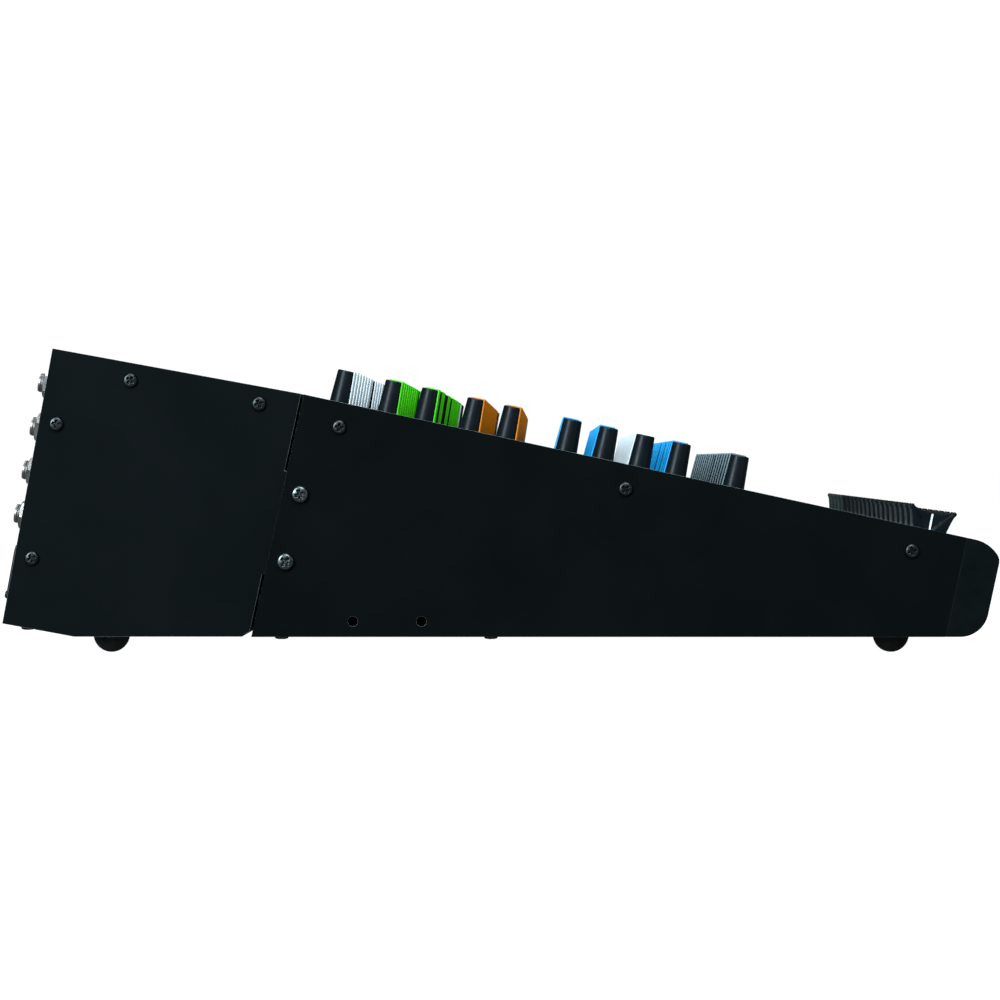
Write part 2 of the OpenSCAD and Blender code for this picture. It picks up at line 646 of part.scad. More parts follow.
module level_meter() color("#20262a") on_deck() translate([meter_x, row_y(meter_s), 0]) {
    bar([-meter_w / 2 + mask_clear, meter_w / 2 - mask_clear],
        [-meter_l / 2 + mask_clear, meter_l / 2 - mask_clear], [board_top, -deck_drop + 0.4]);
}

// ---- Connectors ----
module jack_at(x, s) on_jacks() translate([x, s, 0]) difference() {
    union() {
        bar([-jack_body_w / 2, jack_body_w / 2], [-jack_body_w / 2, jack_body_w / 2],
            [-sheet_t - socket_depth, -sheet_t]);
        translate([0, 0, -sheet_t - eps]) cylinder(d = bushing_d, h = sheet_t + bushing_out + eps);
    }
    translate([0, 0, -sheet_t - socket_depth + 2]) cylinder(d = jack_bore_d, h = 60);
}
module phone_jacks() color("#24282a")
    for (r = [0:jack_rows - 1], i = [0:columns_in(r) - 1]) jack_at(jack_x(i), jack_s(r));

module jack_nuts() color("#b9bec0") on_jacks()
    for (r = [0:jack_rows - 1], i = [0:columns_in(r) - 1]) translate([jack_x(i), jack_s(r), 0]) difference() {
        union() {
            cylinder(d = nut_af + 1, h = washer_t);
            cylinder(d = nut_af / cos(30), h = washer_t + jack_nut_t, $fn = 6);
        }
        translate([0, 0, -1]) cylinder(d = bushing_d + 2 * fit, h = 10);
    }

function ring_of(r) = [for (i = [0:xlr_sides - 1]) r * [cos(360 * i / xlr_sides), sin(360 * i / xlr_sides)]];
module xlr_at(x) on_jacks() translate([x, xlr_row, 0]) {
    difference() {
        union() {
            bar([-xlr_flange[0] / 2, xlr_flange[0] / 2], [-xlr_flange[1] / 2, xlr_flange[1] / 2], [0, xlr_flange[2]]);
            translate([0, 0, -sheet_t - socket_depth]) cylinder(r = xlr_r, h = socket_depth + sheet_t + eps);
        }
        difference() {
            translate([0, 0, xlr_flange[2] - xlr_throat]) linear_extrude(xlr_throat + 1) polygon(ring_of(xlr_mouth_r));
            translate([0, 0, -xlr_throat]) linear_extrude(xlr_throat) polygon(ring_of(xlr_core_r));
        }
    }
}
module xlr_sockets() color("#2a2e30") for (i = [0:jack_columns - 1]) xlr_at(jack_x(i));

module rca_sockets() color("#b9bec0") on_jacks() for (x = rca_x, s = rca_s) translate([x, s, 0]) difference() {
    union() {
        bar([-rca_body[0] / 2, rca_body[0] / 2], [-rca_body[0] / 2, rca_body[0] / 2],
            [-sheet_t - rca_body[1], -sheet_t]);
        translate([0, 0, -sheet_t - eps]) cylinder(d = bushing_d, h = sheet_t + 1 + eps);
        cylinder(d = rca_d, h = bushing_out);
    }
    translate([0, 0, -rca_bore_depth]) cylinder(d = rca_bore_d, h = rca_bore_depth + bushing_out + 1);
}

module mains_inlet() color("#191b1c") on_jacks() {
    translate([inlet_x, inlet_s, 0]) {
        difference() {
            union() {
                block(inlet_w, inlet_h, inlet_rim[0], [0, inlet_rim[1]]);
                block(inlet_w, inlet_h, inlet_wall, [-inlet_body, eps]);
            }
            translate([0, 0, inlet_rim[1] - inlet_depth]) linear_extrude(inlet_depth + 1)
                polygon([[-inlet_w / 2, -inlet_h / 2], [inlet_w / 2, -inlet_h / 2], [inlet_w / 2, inlet_h / 2 - inlet_cut],
                         [inlet_w / 2 - inlet_cut, inlet_h / 2], [-inlet_w / 2 + inlet_cut, inlet_h / 2],
                         [-inlet_w / 2, inlet_h / 2 - inlet_cut]]);
        }
        for (p = inlet_pins) translate([p[0], p[1], 0])
            block(inlet_pin[0], inlet_pin[1], 0, [inlet_rim[1] - inlet_depth - eps, inlet_rim[1] - inlet_pin[2]]);
    }
    translate([inlet_x, rocker_s, 0]) difference() {
        union() {
            block(rocker_w, rocker_h, rocker_rim[0], [0, rocker_rim[1]]);
            block(rocker_w, rocker_h, inlet_wall, [-rocker_body, eps]);
        }
        block(rocker_w, rocker_h, 0, [-rocker_room, rocker_rim[1] + 1]);
    }
}

// The rocker turns about an axis just behind the panel; at rest it is switched off.
rocker_axis_z = -2;
module power_rocker() color("#c03028") on_jacks() translate([inlet_x, rocker_s, rocker_axis_z])
    rotate([rocker_tilt / 2, 0, 0]) rotate([90, 0, 90]) translate([0, 0, -rocker_w / 2 + slip])
        linear_extrude(rocker_w - 2 * slip) difference() {
            polygon([[-rocker_form[0] / 2, 0], [-rocker_form[1] / 2, -rocker_form[2]],
                     [rocker_form[1] / 2, -rocker_form[2]], [rocker_form[0] / 2, 0],
                     [rocker_form[0] / 2, rocker_form[2]], [-rocker_form[0] / 2, rocker_form[2]]]);
            translate([0, rocker_form[2] - rocker_form[3] + rocker_r]) circle(r = rocker_r, $fn = 96);
        }

left_cheek();
right_cheek();
deck_panel();
base_plate();
front_nose();
pod_left_plate();
pod_right_plate();
jack_panel();
pod_base();
cable_cover();
rubber_feet();
case_screws();
pod_bolts();
main_board();
jack_board();
power_unit();
ribbon_cables();
slide_pots();
rotary_pots();
panel_knobs();
panel_buttons();
phone_jacks();
jack_nuts();
xlr_sockets();
rca_sockets();
mains_inlet();
level_meter();
power_rocker();
low_cut_button();
mute_button();
for (r = [0:len(channel_knobs) - 1])
    color("#1c2126") on_deck() knob(column_x(0), r);
for (i = [0:strips - 1])
    color("#14191c") fader_cap(i);
for (i = [0:len(master_caps) - 1])
    color("#5a6262") fader_cap(strips + i);
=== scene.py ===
import json
import math
import bpy
import bmesh
import numpy as np
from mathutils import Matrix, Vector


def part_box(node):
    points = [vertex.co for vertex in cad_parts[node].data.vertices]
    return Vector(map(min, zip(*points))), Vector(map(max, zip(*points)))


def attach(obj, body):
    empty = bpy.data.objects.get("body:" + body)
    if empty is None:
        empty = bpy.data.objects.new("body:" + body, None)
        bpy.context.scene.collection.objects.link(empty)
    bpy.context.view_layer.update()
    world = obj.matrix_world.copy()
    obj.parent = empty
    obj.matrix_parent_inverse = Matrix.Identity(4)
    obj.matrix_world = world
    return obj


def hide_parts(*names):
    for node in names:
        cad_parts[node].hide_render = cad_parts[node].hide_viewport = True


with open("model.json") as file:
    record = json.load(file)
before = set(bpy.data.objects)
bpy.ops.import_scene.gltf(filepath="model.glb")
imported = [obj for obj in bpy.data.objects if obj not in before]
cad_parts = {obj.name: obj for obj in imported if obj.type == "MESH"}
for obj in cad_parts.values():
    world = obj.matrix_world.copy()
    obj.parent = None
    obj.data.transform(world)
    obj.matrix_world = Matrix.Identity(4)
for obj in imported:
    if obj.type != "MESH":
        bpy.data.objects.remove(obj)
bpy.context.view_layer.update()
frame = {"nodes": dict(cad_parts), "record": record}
cadNodes = frame["nodes"]
jointOf = {j["child"]: j for j in frame["record"]["behaviour"]["joints"]}
mm = 0.001
print("frame loaded:", len(cadNodes), "nodes")


# meshes from arrays

def gridFaces(rows, cols, closed=False):
    # quads of a grid of points stored row by row; closed joins the last column to the first
    r = np.arange(rows - 1)[:, None]
    c = np.arange(cols if closed else cols - 1)[None, :]
    right = (c + 1) % cols
    a = r * cols + c
    b = r * cols + right
    return np.stack([a, b, b + cols, a + cols], axis=-1).reshape(-1, 4)


def tubeFaces(rows, cols):
    # a closed-section grid with a flat cap at each end
    first = np.arange(cols)[::-1][None, :]
    last = (np.arange(cols) + (rows - 1) * cols)[None, :]
    return [gridFaces(rows, cols, closed=True), first, last]


def sheet(x, y, z):
    # an open grid of points as a shape
    return np.stack([x, y, z], axis=-1).reshape(-1, 3), [gridFaces(*x.shape)]


def closedFaces(rows, cols):
    # a closed-section grid whose last row joins back to its first
    ring, start = np.arange(cols), (rows - 1) * cols
    after = (ring + 1) % cols
    return [gridFaces(rows, cols, closed=True), np.stack([start + ring, start + after, after, ring], axis=-1)]


def joined(shapes):
    # several (points, faces) shapes as one
    points, faces, offset = [], [], 0
    for p, fs in shapes:
        points.append(p)
        faces += [f + offset for f in fs]
        offset += len(p)
    return np.concatenate(points), faces


def placed(shape, origin, xAxis, yAxis, zAxis):
    # a shape's own x, y and z laid along three directions from an origin
    basis = np.array([xAxis, yAxis, zAxis], dtype=float)
    return shape[0] @ basis + np.array(origin, dtype=float), shape[1]


def turned(shape, degrees):
    # a shape turned about its own z axis
    a = math.radians(degrees)
    spin = np.array([[math.cos(a), math.sin(a), 0], [-math.sin(a), math.cos(a), 0], [0, 0, 1]])
    return shape[0] @ spin, shape[1]


def shifted(shape, x, y, z=0.0):
    # a shape moved without turning
    return shape[0] + np.array([x, y, z]), shape[1]


def makePiece(name, shape, material, body, slot, replaces=(), smooth=35, heal=True):
    # turns a shape into an object that rides on a body; edges sharper than smooth stay crisp
    mesh = bpy.data.meshes.new(name)
    faces = [row for block in shape[1] for row in np.asarray(block).tolist()]
    mesh.from_pydata(np.asarray(shape[0], dtype=float).tolist(), [], faces)
    if heal:
        bm = bmesh.new()
        bm.from_mesh(mesh)
        bmesh.ops.remove_doubles(bm, verts=bm.verts, dist=1e-6)
        bmesh.ops.dissolve_degenerate(bm, dist=1e-7, edges=bm.edges)
        bmesh.ops.recalc_face_normals(bm, faces=bm.faces)
        bm.to_mesh(mesh)
        bm.free()
    mesh.polygons.foreach_set("use_smooth", np.ones(len(mesh.polygons), dtype=bool))
    mesh.set_sharp_from_angle(angle=math.radians(smooth))
    mesh.materials.append(material)
    mesh.update()
    obj = bpy.data.objects.new(name, mesh)
    bpy.context.scene.collection.objects.link(obj)
    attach(obj, body)
    if replaces:
        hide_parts(*replaces)


def makeFixed(name, shapes, finish, slot, **more):
    # many shapes as one piece that rides on the housing
    makePiece(name, joined(shapes), mats[finish], "housing", slot, **more)


def cornersOf(node, axes):
    # lowest and highest coordinates of a node's points, measured along three directions
    mesh = cadNodes[node].data
    co = np.empty(len(mesh.vertices) * 3)
    mesh.vertices.foreach_get("co", co)
    co = co.reshape(-1, 3) @ np.array(axes).T
    return co.min(axis=0), co.max(axis=0), co


def islands(node, axes):
    # the separate solids of a CAD node, as rows of low and high corners along three directions
    mesh = cadNodes[node].data
    co = cornersOf(node, axes)[2]
    edges = np.empty(len(mesh.edges) * 2, dtype=np.int64)
    mesh.edges.foreach_get("vertices", edges)
    same = np.unique(np.round(co / 1e-5).astype(np.int64), axis=0, return_inverse=True)[1].reshape(-1)
    a, b = same[edges.reshape(-1, 2)].T
    label = np.arange(same.max() + 1)
    while True:
        low = np.minimum(label[a], label[b])
        fresh = label.copy()
        np.minimum.at(fresh, a, low)
        np.minimum.at(fresh, b, low)
        fresh = fresh[fresh]
        if np.array_equal(fresh, label):
            break
        label = fresh
    names, group = np.unique(label[same], return_inverse=True)
    lows = np.full((len(names), 3), np.inf)
    highs = np.full((len(names), 3), -np.inf)
    np.minimum.at(lows, group, co)
    np.maximum.at(highs, group, co)
    return lows, highs


def roundedBox(width, length, height, radius=0.5 * mm, steps=3):
    # a box whose upright and top edges are rounded: an outline drawn in and lifted over a quarter circle
    quarter = np.linspace(0, math.pi / 2, steps + 1)
    spin = (np.arange(4)[:, None] * math.pi / 2 + quarter[None, :]).reshape(-1)
    cornerX = np.array([1, -1, -1, 1]).repeat(steps + 1) * (width / 2 - radius)
    cornerY = np.array([1, 1, -1, -1]).repeat(steps + 1) * (length / 2 - radius)
    ring = np.stack([np.cos(spin), np.sin(spin)], axis=1)
    rows = [(radius, 0.0)] + [(radius * math.cos(a), height - radius + radius * math.sin(a)) for a in quarter]
    points = [np.column_stack([cornerX + r * ring[:, 0], cornerY + r * ring[:, 1], np.full(len(spin), z)])
              for r, z in rows]
    return np.concatenate(points), tubeFaces(len(rows), len(spin))


def revolved(profile, segments=24, closedProfile=False):
    # a profile of (radius, height) rows turned about z
    angle = np.linspace(0, 2 * math.pi, segments, endpoint=False)
    r, z = np.array(profile, dtype=float).T
    points = np.stack([r[:, None] * np.cos(angle), r[:, None] * np.sin(angle),
                       np.repeat(z[:, None], segments, axis=1)], axis=-1).reshape(-1, 3)
    if closedProfile:
        return points, closedFaces(len(profile), segments)
    return points, tubeFaces(len(profile), segments)


# materials

def newMaterial(name, colour, roughness, metallic=0.0, specular=0.5, coat=0.0):
    mat = bpy.data.materials.new(name)
    mat.use_nodes = True
    shader = mat.node_tree.nodes["Principled BSDF"]
    shader.inputs["Base Color"].default_value = (*colour, 1)
    shader.inputs["Roughness"].default_value = roughness
    shader.inputs["Metallic"].default_value = metallic
    shader.inputs["Specular IOR Level"].default_value = specular
    shader.inputs["Coat Weight"].default_value = coat
    return mat, mat.node_tree.nodes, mat.node_tree.links, shader


def addNoise(nodes, links, scale, detail=2.0, name="grain", stretch=(1, 1, 1)):
    coords = nodes.new("ShaderNodeTexCoord")
    place = nodes.new("ShaderNodeMapping")
    place.inputs["Scale"].default_value = stretch
    noise = nodes.new("ShaderNodeTexNoise")
    noise.name = name
    noise.inputs["Scale"].default_value = scale
    noise.inputs["Detail"].default_value = detail
    links.new(coords.outputs["Object"], place.inputs["Vector"])
    links.new(place.outputs["Vector"], noise.inputs["Vector"])
    return noise


def colourByNoise(nodes, links, shader, noise, low, high, start=0.35, end=0.65):
    ramp = nodes.new("ShaderNodeValToRGB")
    ramp.color_ramp.elements[0].position = start
    ramp.color_ramp.elements[0].color = (*low, 1)
    ramp.color_ramp.elements[1].position = end
    ramp.color_ramp.elements[1].color = (*high, 1)
    links.new(noise.outputs["Fac"], ramp.inputs["Fac"])
    links.new(ramp.outputs["Color"], shader.inputs["Base Color"])


def roughnessByNoise(nodes, links, shader, noise, low, high):
    spread = nodes.new("ShaderNodeMapRange")
    spread.inputs["From Min"].default_value = 0.3
    spread.inputs["From Max"].default_value = 0.7
    spread.inputs["To Min"].default_value = low
    spread.inputs["To Max"].default_value = high
    links.new(noise.outputs["Fac"], spread.inputs["Value"])
    links.new(spread.outputs["Result"], shader.inputs["Roughness"])


def bumpByNoise(nodes, links, shader, noise, strength, distance):
    bump = nodes.new("ShaderNodeBump")
    bump.inputs["Strength"].default_value = strength
    bump.inputs["Distance"].default_value = distance
    links.new(noise.outputs["Fac"], bump.inputs["Height"])
    links.new(bump.outputs["Normal"], shader.inputs["Normal"])


def coatedMetal(name, dark, light, roughness, specular=0.03, grain=2600.0, bump=0.25):
    # powder coat: fine orange-peel bump, faint cloudy tone and a rubbed roughness
    mat, nodes, links, shader = newMaterial(name, dark, roughness, specular=specular)
    cloud = addNoise(nodes, links, 22.0, 4.0, "cloud")
    colourByNoise(nodes, links, shader, cloud, dark, light)
    rubbed = addNoise(nodes, links, 60.0, 3.0, "rubbed")
    roughnessByNoise(nodes, links, shader, rubbed, roughness - 0.05, roughness + 0.07)
    bumpByNoise(nodes, links, shader, addNoise(nodes, links, grain, 2.0, "peel"), bump, 0.00004)
    return mat


def mouldedPlastic(name, dark, light, roughness, specular=0.5, grain=3500.0, bump=0.18, coat=0.0):
    # moulded plastic: spark-eroded fine grain with a slight change of tone
    mat, nodes, links, shader = newMaterial(name, dark, roughness, specular=specular, coat=coat)
    colourByNoise(nodes, links, shader, addNoise(nodes, links, 90.0, 3.0, "tone"), dark, light)
    roughnessByNoise(nodes, links, shader, addNoise(nodes, links, 240.0, 3.0, "touched"),
                     roughness - 0.04, roughness + 0.06)
    bumpByNoise(nodes, links, shader, addNoise(nodes, links, grain, 1.0, "spark"), bump, 0.00003)
    return mat


def platedMetal(name, dark, light, roughness, scratch=(1, 1, 30)):
    # plated metal with drawn scratches along one direction
    mat, nodes, links, shader = newMaterial(name, dark, roughness, metallic=1.0)
    colourByNoise(nodes, links, shader, addNoise(nodes, links, 160.0, 3.0, "tarnish"), dark, light)
    drawn = addNoise(nodes, links, 900.0, 4.0, "drawn", scratch)
    roughnessByNoise(nodes, links, shader, drawn, roughness - 0.06, roughness + 0.12)
    bumpByNoise(nodes, links, shader, drawn, 0.15, 0.00002)
    return mat


def circuitBoard(name):
    # solder resist with paler copper showing through in a cell pattern
    mat, nodes, links, shader = newMaterial(name, (0.01, 0.10, 0.05), 0.35, coat=0.3)
    coords = nodes.new("ShaderNodeTexCoord")
    cells = nodes.new("ShaderNodeTexVoronoi")
    cells.inputs["Scale"].default_value = 180.0
    cells.distance = "MANHATTAN"
    links.new(coords.outputs["Object"], cells.inputs["Vector"])
    ramp = nodes.new("ShaderNodeValToRGB")
    ramp.color_ramp.elements[0].position = 0.25
    ramp.color_ramp.elements[0].color = (0.02, 0.20, 0.10, 1)
    ramp.color_ramp.elements[1].position = 0.40
    ramp.color_ramp.elements[1].color = (0.01, 0.10, 0.05, 1)
    links.new(cells.outputs["Distance"], ramp.inputs["Fac"])
    links.new(ramp.outputs["Color"], shader.inputs["Base Color"])
    return mat


def lampMaterial(name, colour):
    # an unlit lamp: clear coated and slightly hazy
    mat, nodes, links, shader = newMaterial(name, colour, 0.25, coat=0.4)
    bumpByNoise(nodes, links, shader, addNoise(nodes, links, 1500.0, 1.0, "haze"), 0.1, 0.00003)
    return mat


coats = {  # name, darker and lighter colour, roughness, specular level, grain, bump
    "case": ("caseCoat", (0.0018, 0.0028, 0.0029), (0.0025, 0.0036, 0.0037), 0.46, 0.02),
    # edge: the coat of the bevelled plate edges, lighter and glossier than the case as a painted highlight
    # along the edges
    "edge": ("caseEdge", (0.005, 0.007, 0.008), (0.010, 0.013, 0.014), 0.36, 0.3),
    "pod": ("podCoat", (0.0024, 0.0037, 0.0040), (0.0032, 0.0045, 0.0049), 0.46, 0.02),
    "deck": ("deckCoat", (0.014, 0.019, 0.024), (0.020, 0.026, 0.032), 0.50, 0.2, 3200.0, 0.3),
}
plastics = {  # name, darker and lighter colour, roughness, specular level, grain, bump, clear coat
    "nose": ("nosePlastic", (0.0018, 0.0032, 0.0032), (0.0026, 0.0042, 0.0042), 0.42, 0.05),
    "knob": ("knobPlastic", (0.0018, 0.0042, 0.0058), (0.0026, 0.0054, 0.0072), 0.37, 0.15),
    "cap": ("capPlastic", (0.0016, 0.0040, 0.0052), (0.0024, 0.0052, 0.0066), 0.35, 0.12),
    "capGrey": ("capGreyPlastic", (0.014, 0.024, 0.022), (0.020, 0.032, 0.029), 0.40, 0.16),
    "line": ("lineWhite", (0.72, 0.80, 0.86), (0.80, 0.87, 0.92), 0.38),
    "white": ("pointerWhite", (0.56, 0.62, 0.64), (0.64, 0.7, 0.72), 0.42, 0.12),
    "green": ("pointerGreen", (0.04, 0.52, 0.003), (0.06, 0.6, 0.005), 0.42, 0.12),
    "orange": ("pointerOrange", (0.52, 0.15, 0.002), (0.6, 0.18, 0.003), 0.42, 0.12),
    "blue": ("pointerBlue", (0.006, 0.27, 0.62), (0.01, 0.32, 0.7), 0.42, 0.14),
    "grey": ("pointerGrey", (0.11, 0.15, 0.165), (0.15, 0.2, 0.215), 0.42, 0.14),
    "buttonGrey": ("buttonGreyPlastic", (0.30, 0.31, 0.31), (0.35, 0.36, 0.36), 0.42),
    "buttonRed": ("buttonRedPlastic", (0.36, 0.03, 0.025), (0.42, 0.04, 0.03), 0.42),
    "rubber": ("footRubber", (0.012, 0.013, 0.013), (0.020, 0.021, 0.021), 0.72, 0.25, 1200.0, 0.4),
    "jack": ("jackPlastic", (0.006, 0.007, 0.008), (0.009, 0.010, 0.011), 0.38, 0.25),
    "ribbon": ("ribbonSleeve", (0.30, 0.32, 0.33), (0.38, 0.40, 0.41), 0.55),
    "window": ("meterWindow", (0.012, 0.013, 0.015), (0.014, 0.015, 0.017), 0.10, 0.5, 800.0, 0.03, 0.5),
    "rocker": ("rockerRed", (0.40, 0.018, 0.012), (0.46, 0.026, 0.018), 0.20, 0.5, 3000.0, 0.05, 0.6),
    "print": ("deckPrint", (0.42, 0.45, 0.46), (0.50, 0.53, 0.54), 0.60),
    "printDark": ("deckPrintDark", (0.070, 0.085, 0.10), (0.085, 0.10, 0.115), 0.55),
}
metals = {  # name, darker and lighter colour, roughness
    "screw": ("screwBlack", (0.026, 0.031, 0.032), (0.048, 0.054, 0.055), 0.30),
    "bolt": ("boltNickel", (0.070, 0.082, 0.084), (0.110, 0.124, 0.126), 0.26),
    "nickel": ("nutNickel", (0.20, 0.185, 0.175), (0.30, 0.285, 0.275), 0.34),
    "brass": ("contactBrass", (0.62, 0.42, 0.16), (0.72, 0.52, 0.22), 0.26),
    "inner": ("innerSteel", (0.40, 0.42, 0.43), (0.52, 0.54, 0.55), 0.38),
}
lampColours = {
    "ledRed": ("ledRed", (0.50, 0.02, 0.015)),
    "ledAmber": ("ledAmber", (0.55, 0.26, 0.02)),
    "ledGreen": ("ledGreen", (0.05, 0.35, 0.06)),
}
mats = {"board": circuitBoard("solderResist")}
for make, table in ((coatedMetal, coats), (mouldedPlastic, plastics),
                    (platedMetal, metals), (lampMaterial, lampColours)):
    mats.update({key: make(*values) for key, values in table.items()})
print("materials made:", len(mats))


def paintEdgeHighlight(mat, front, highlightTone):
    # edges behind a given depth are given a painted highlight, a lighter tone; ahead of it they keep the
    # coat's own
    nodes, links = mat.node_tree.nodes, mat.node_tree.links
    coords = nodes.new("ShaderNodeTexCoord")
    parts = nodes.new("ShaderNodeSeparateXYZ")
    reach = nodes.new("ShaderNodeMapRange")
    reach.inputs["From Min"].default_value = front - 0.01
    reach.inputs["From Max"].default_value = front + 0.01
    mix = nodes.new("ShaderNodeMix")
    mix.data_type = "RGBA"
    shader = nodes["Principled BSDF"]
    own = shader.inputs["Base Color"].links[0].from_socket
    links.new(coords.outputs["Object"], parts.inputs["Vector"])
    links.new(parts.outputs["Y"], reach.inputs["Value"])
    links.new(reach.outputs["Result"], mix.inputs["Factor"])
    links.new(own, mix.inputs["A"])
    mix.inputs["B"].default_value = (*highlightTone, 1)
    links.new(mix.outputs["Result"], shader.inputs["Base Color"])


# a light grey painted highlight on the bevelled plate edges behind the nose seam
paintEdgeHighlight(mats["edge"], -0.19, (0.13, 0.15, 0.155))

# every CAD node gets its finish, including the ones that stay hidden inside
nodeFinish = {
    "left_cheek": "case", "right_cheek": "case", "deck_panel": "deck", "base_plate": "case",
    "front_nose": "nose", "pod_left_plate": "pod", "pod_right_plate": "pod", "jack_panel": "pod",
    "pod_base": "case", "cable_cover": "case", "rubber_feet": "rubber", "case_screws": "screw",
    "pod_bolts": "bolt", "main_board": "board", "jack_board": "board", "power_unit": "inner",
    "ribbon_cables": "ribbon", "slide_pots": "inner", "rotary_pots": "inner", "panel_knobs": "knob",
    "panel_buttons": "buttonGrey", "phone_jacks": "jack", "jack_nuts": "nickel", "xlr_sockets": "jack",
    "rca_sockets": "nickel", "mains_inlet": "jack", "level_meter": "window", "power_rocker": "rocker",
}
for name, node in cadNodes.items():
    finish = nodeFinish.get(name, "cap" if "cap" in name else "knob")
    node.data.materials.clear()
    node.data.materials.append(mats[finish])


# sheet-metal plates with softened edges

def softenedPlate(name, node, material, width=0.35 * mm, edge="edge"):
    # a healed copy of a CAD plate whose sharp edges are rounded a little, as coated sheet is
    mesh = cadNodes[node].data.copy()
    bm = bmesh.new()
    bm.from_mesh(mesh)
    bmesh.ops.remove_doubles(bm, verts=bm.verts, dist=2e-6)
    bmesh.ops.dissolve_limit(bm, angle_limit=math.radians(0.6), verts=bm.verts, edges=bm.edges)
    bmesh.ops.recalc_face_normals(bm, faces=bm.faces)
    bm.to_mesh(mesh)
    bm.free()
    mesh.materials.clear()
    mesh.materials.append(material)
    mesh.materials.append(mats[edge])
    mesh.polygons.foreach_set("use_smooth", np.ones(len(mesh.polygons), dtype=bool))
    mesh.set_sharp_from_angle(angle=math.radians(30))
    obj = bpy.data.objects.new(name, mesh)
    bpy.context.scene.collection.objects.link(obj)
    soften = obj.modifiers.new("soften", "BEVEL")
    soften.width = width
    soften.segments = 2
    soften.limit_method = "ANGLE"
    soften.angle_limit = math.radians(40)
    soften.harden_normals = True
    # the bevel faces take the second material; the default edge coat's lighter tone is a painted edge
    # highlight
    soften.material = 1
    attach(obj, "housing")
    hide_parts(node)


softenedPlate("leftCheekPlate", "left_cheek", mats["case"])
softenedPlate("rightCheekPlate", "right_cheek", mats["case"])
softenedPlate("podLeftPlate", "pod_left_plate", mats["pod"])
softenedPlate("podRightPlate", "pod_right_plate", mats["pod"])
print("plates softened")


# the deck's own directions

deckUp = np.array(jointOf["fader_cap_1"]["axis"])
deckOut = -np.array(jointOf["trim_knob"]["axis"])
across = np.array([1.0, 0.0, 0.0])
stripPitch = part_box("fader_cap_2")[0][0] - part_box("fader_cap_1")[0][0]
stripCount = sum(name.startswith("fader_cap_") for name in cadNodes)
masterCaps = ["group_cap_1", "group_cap_2", "group_cap_3", "main_cap"]
capNames = ["fader_cap_%d" % (i + 1) for i in range(stripCount)] + masterCaps
knobNames = ["trim_knob", "aux_1_knob", "aux_2_knob", "aux_3_knob", "aux_4_knob",
             "treble_knob", "middle_knob", "sweep_knob", "bass_knob", "pan_knob"]
rowPoint = [np.array(jointOf[name]["pos_m"]) for name in knobNames]
deckDrop = 2.0 * mm  # the deck lies this far below the cheeks' edges
jackOut = np.array(next(m["axis"] for m in frame["record"]["mounts"] if m["name"] == "line_jack_1"))
jackDown = np.array([0.0, jackOut[2], -jackOut[1]])
deckAxes = np.array([across, deckUp, deckOut])
jackAxes = np.array([across, jackDown, jackOut])
worldAxes = np.eye(3)
deckPlane = float(np.dot(rowPoint[0], deckOut))  # the plane of the cheeks' upper edges
panelPlane = float(islands("jack_nuts", jackAxes)[0][0][2])  # the jack panel's outer face


def onDeck(shape, point):
    # a shape stood up on the deck at a point
    return placed(shape, point, *deckAxes)


def onPanel(shape, point):
    # a shape stood out from the jack panel at a point
    return placed(shape, point, *jackAxes)


def onPlane(low, high, axes, plane):
    # the middle of a solid, dropped square to a plane
    middle = (low + high) / 2
    return np.array([middle[0], middle[1], plane]) @ axes


def deckFoot(name, lift=0.0):
    # the middle of a node on the deck, at a height over the plane of the cheeks' edges
    return onPlane(*cornersOf(name, deckAxes)[:2], deckAxes, deckPlane + lift)


def columnsOf(row, first=0):
    # the strips' columns from a first one on, and the master section's in its own rows
    return list(range(first, stripCount)) + (masterKnobs["columns"] if row in masterKnobs["rows"] else [])


# rotary knobs

masterKnobs = {"columns": [16, 17, 18], "rows": (1, 2, 3, 4)}
knobForm = {
    "skirtR": 5.25 * mm, "topR": 4.42 * mm, "bottom": -1.3 * mm, "top": 14.9 * mm,
    "edge": 0.75 * mm, "dish": 0.25 * mm, "flatHalf": 1.15 * mm,
    "insertHalf": 0.84 * mm, "insertEdge": 0.24 * mm, "insertProud": 0.44 * mm, "insertTopProud": 0.60 * mm,
    "insertReach": 0.66,
}


def knobBody(segments, edgeSteps):
    # radius falls in a straight taper to a rounded shoulder; the pointer side is cut to a narrow flat
    k = knobForm
    arc = np.linspace(0, math.pi / 2, edgeSteps)
    side = [(k["skirtR"], k["bottom"]), (k["skirtR"] - 0.02 * mm, k["bottom"] + 0.5 * mm)]
    shoulder = [(k["topR"] - k["edge"] * (1 - math.cos(a)), k["top"] - k["edge"] * (1 - math.sin(a)))
                for a in arc]
    crown = [(k["topR"] * 0.72, k["top"] - k["dish"] * 0.5), (k["topR"] * 0.3, k["top"] - k["dish"])]
    points, faces = revolved(side + shoulder + crown, segments)
    r = np.hypot(points[:, 0], points[:, 1])
    flat = np.sqrt(np.maximum(r * r - k["flatHalf"] ** 2, 0))
    points[:, 1] = np.where(r > k["flatHalf"] * 1.5, np.minimum(points[:, 1], flat), points[:, 1])
    return points, faces


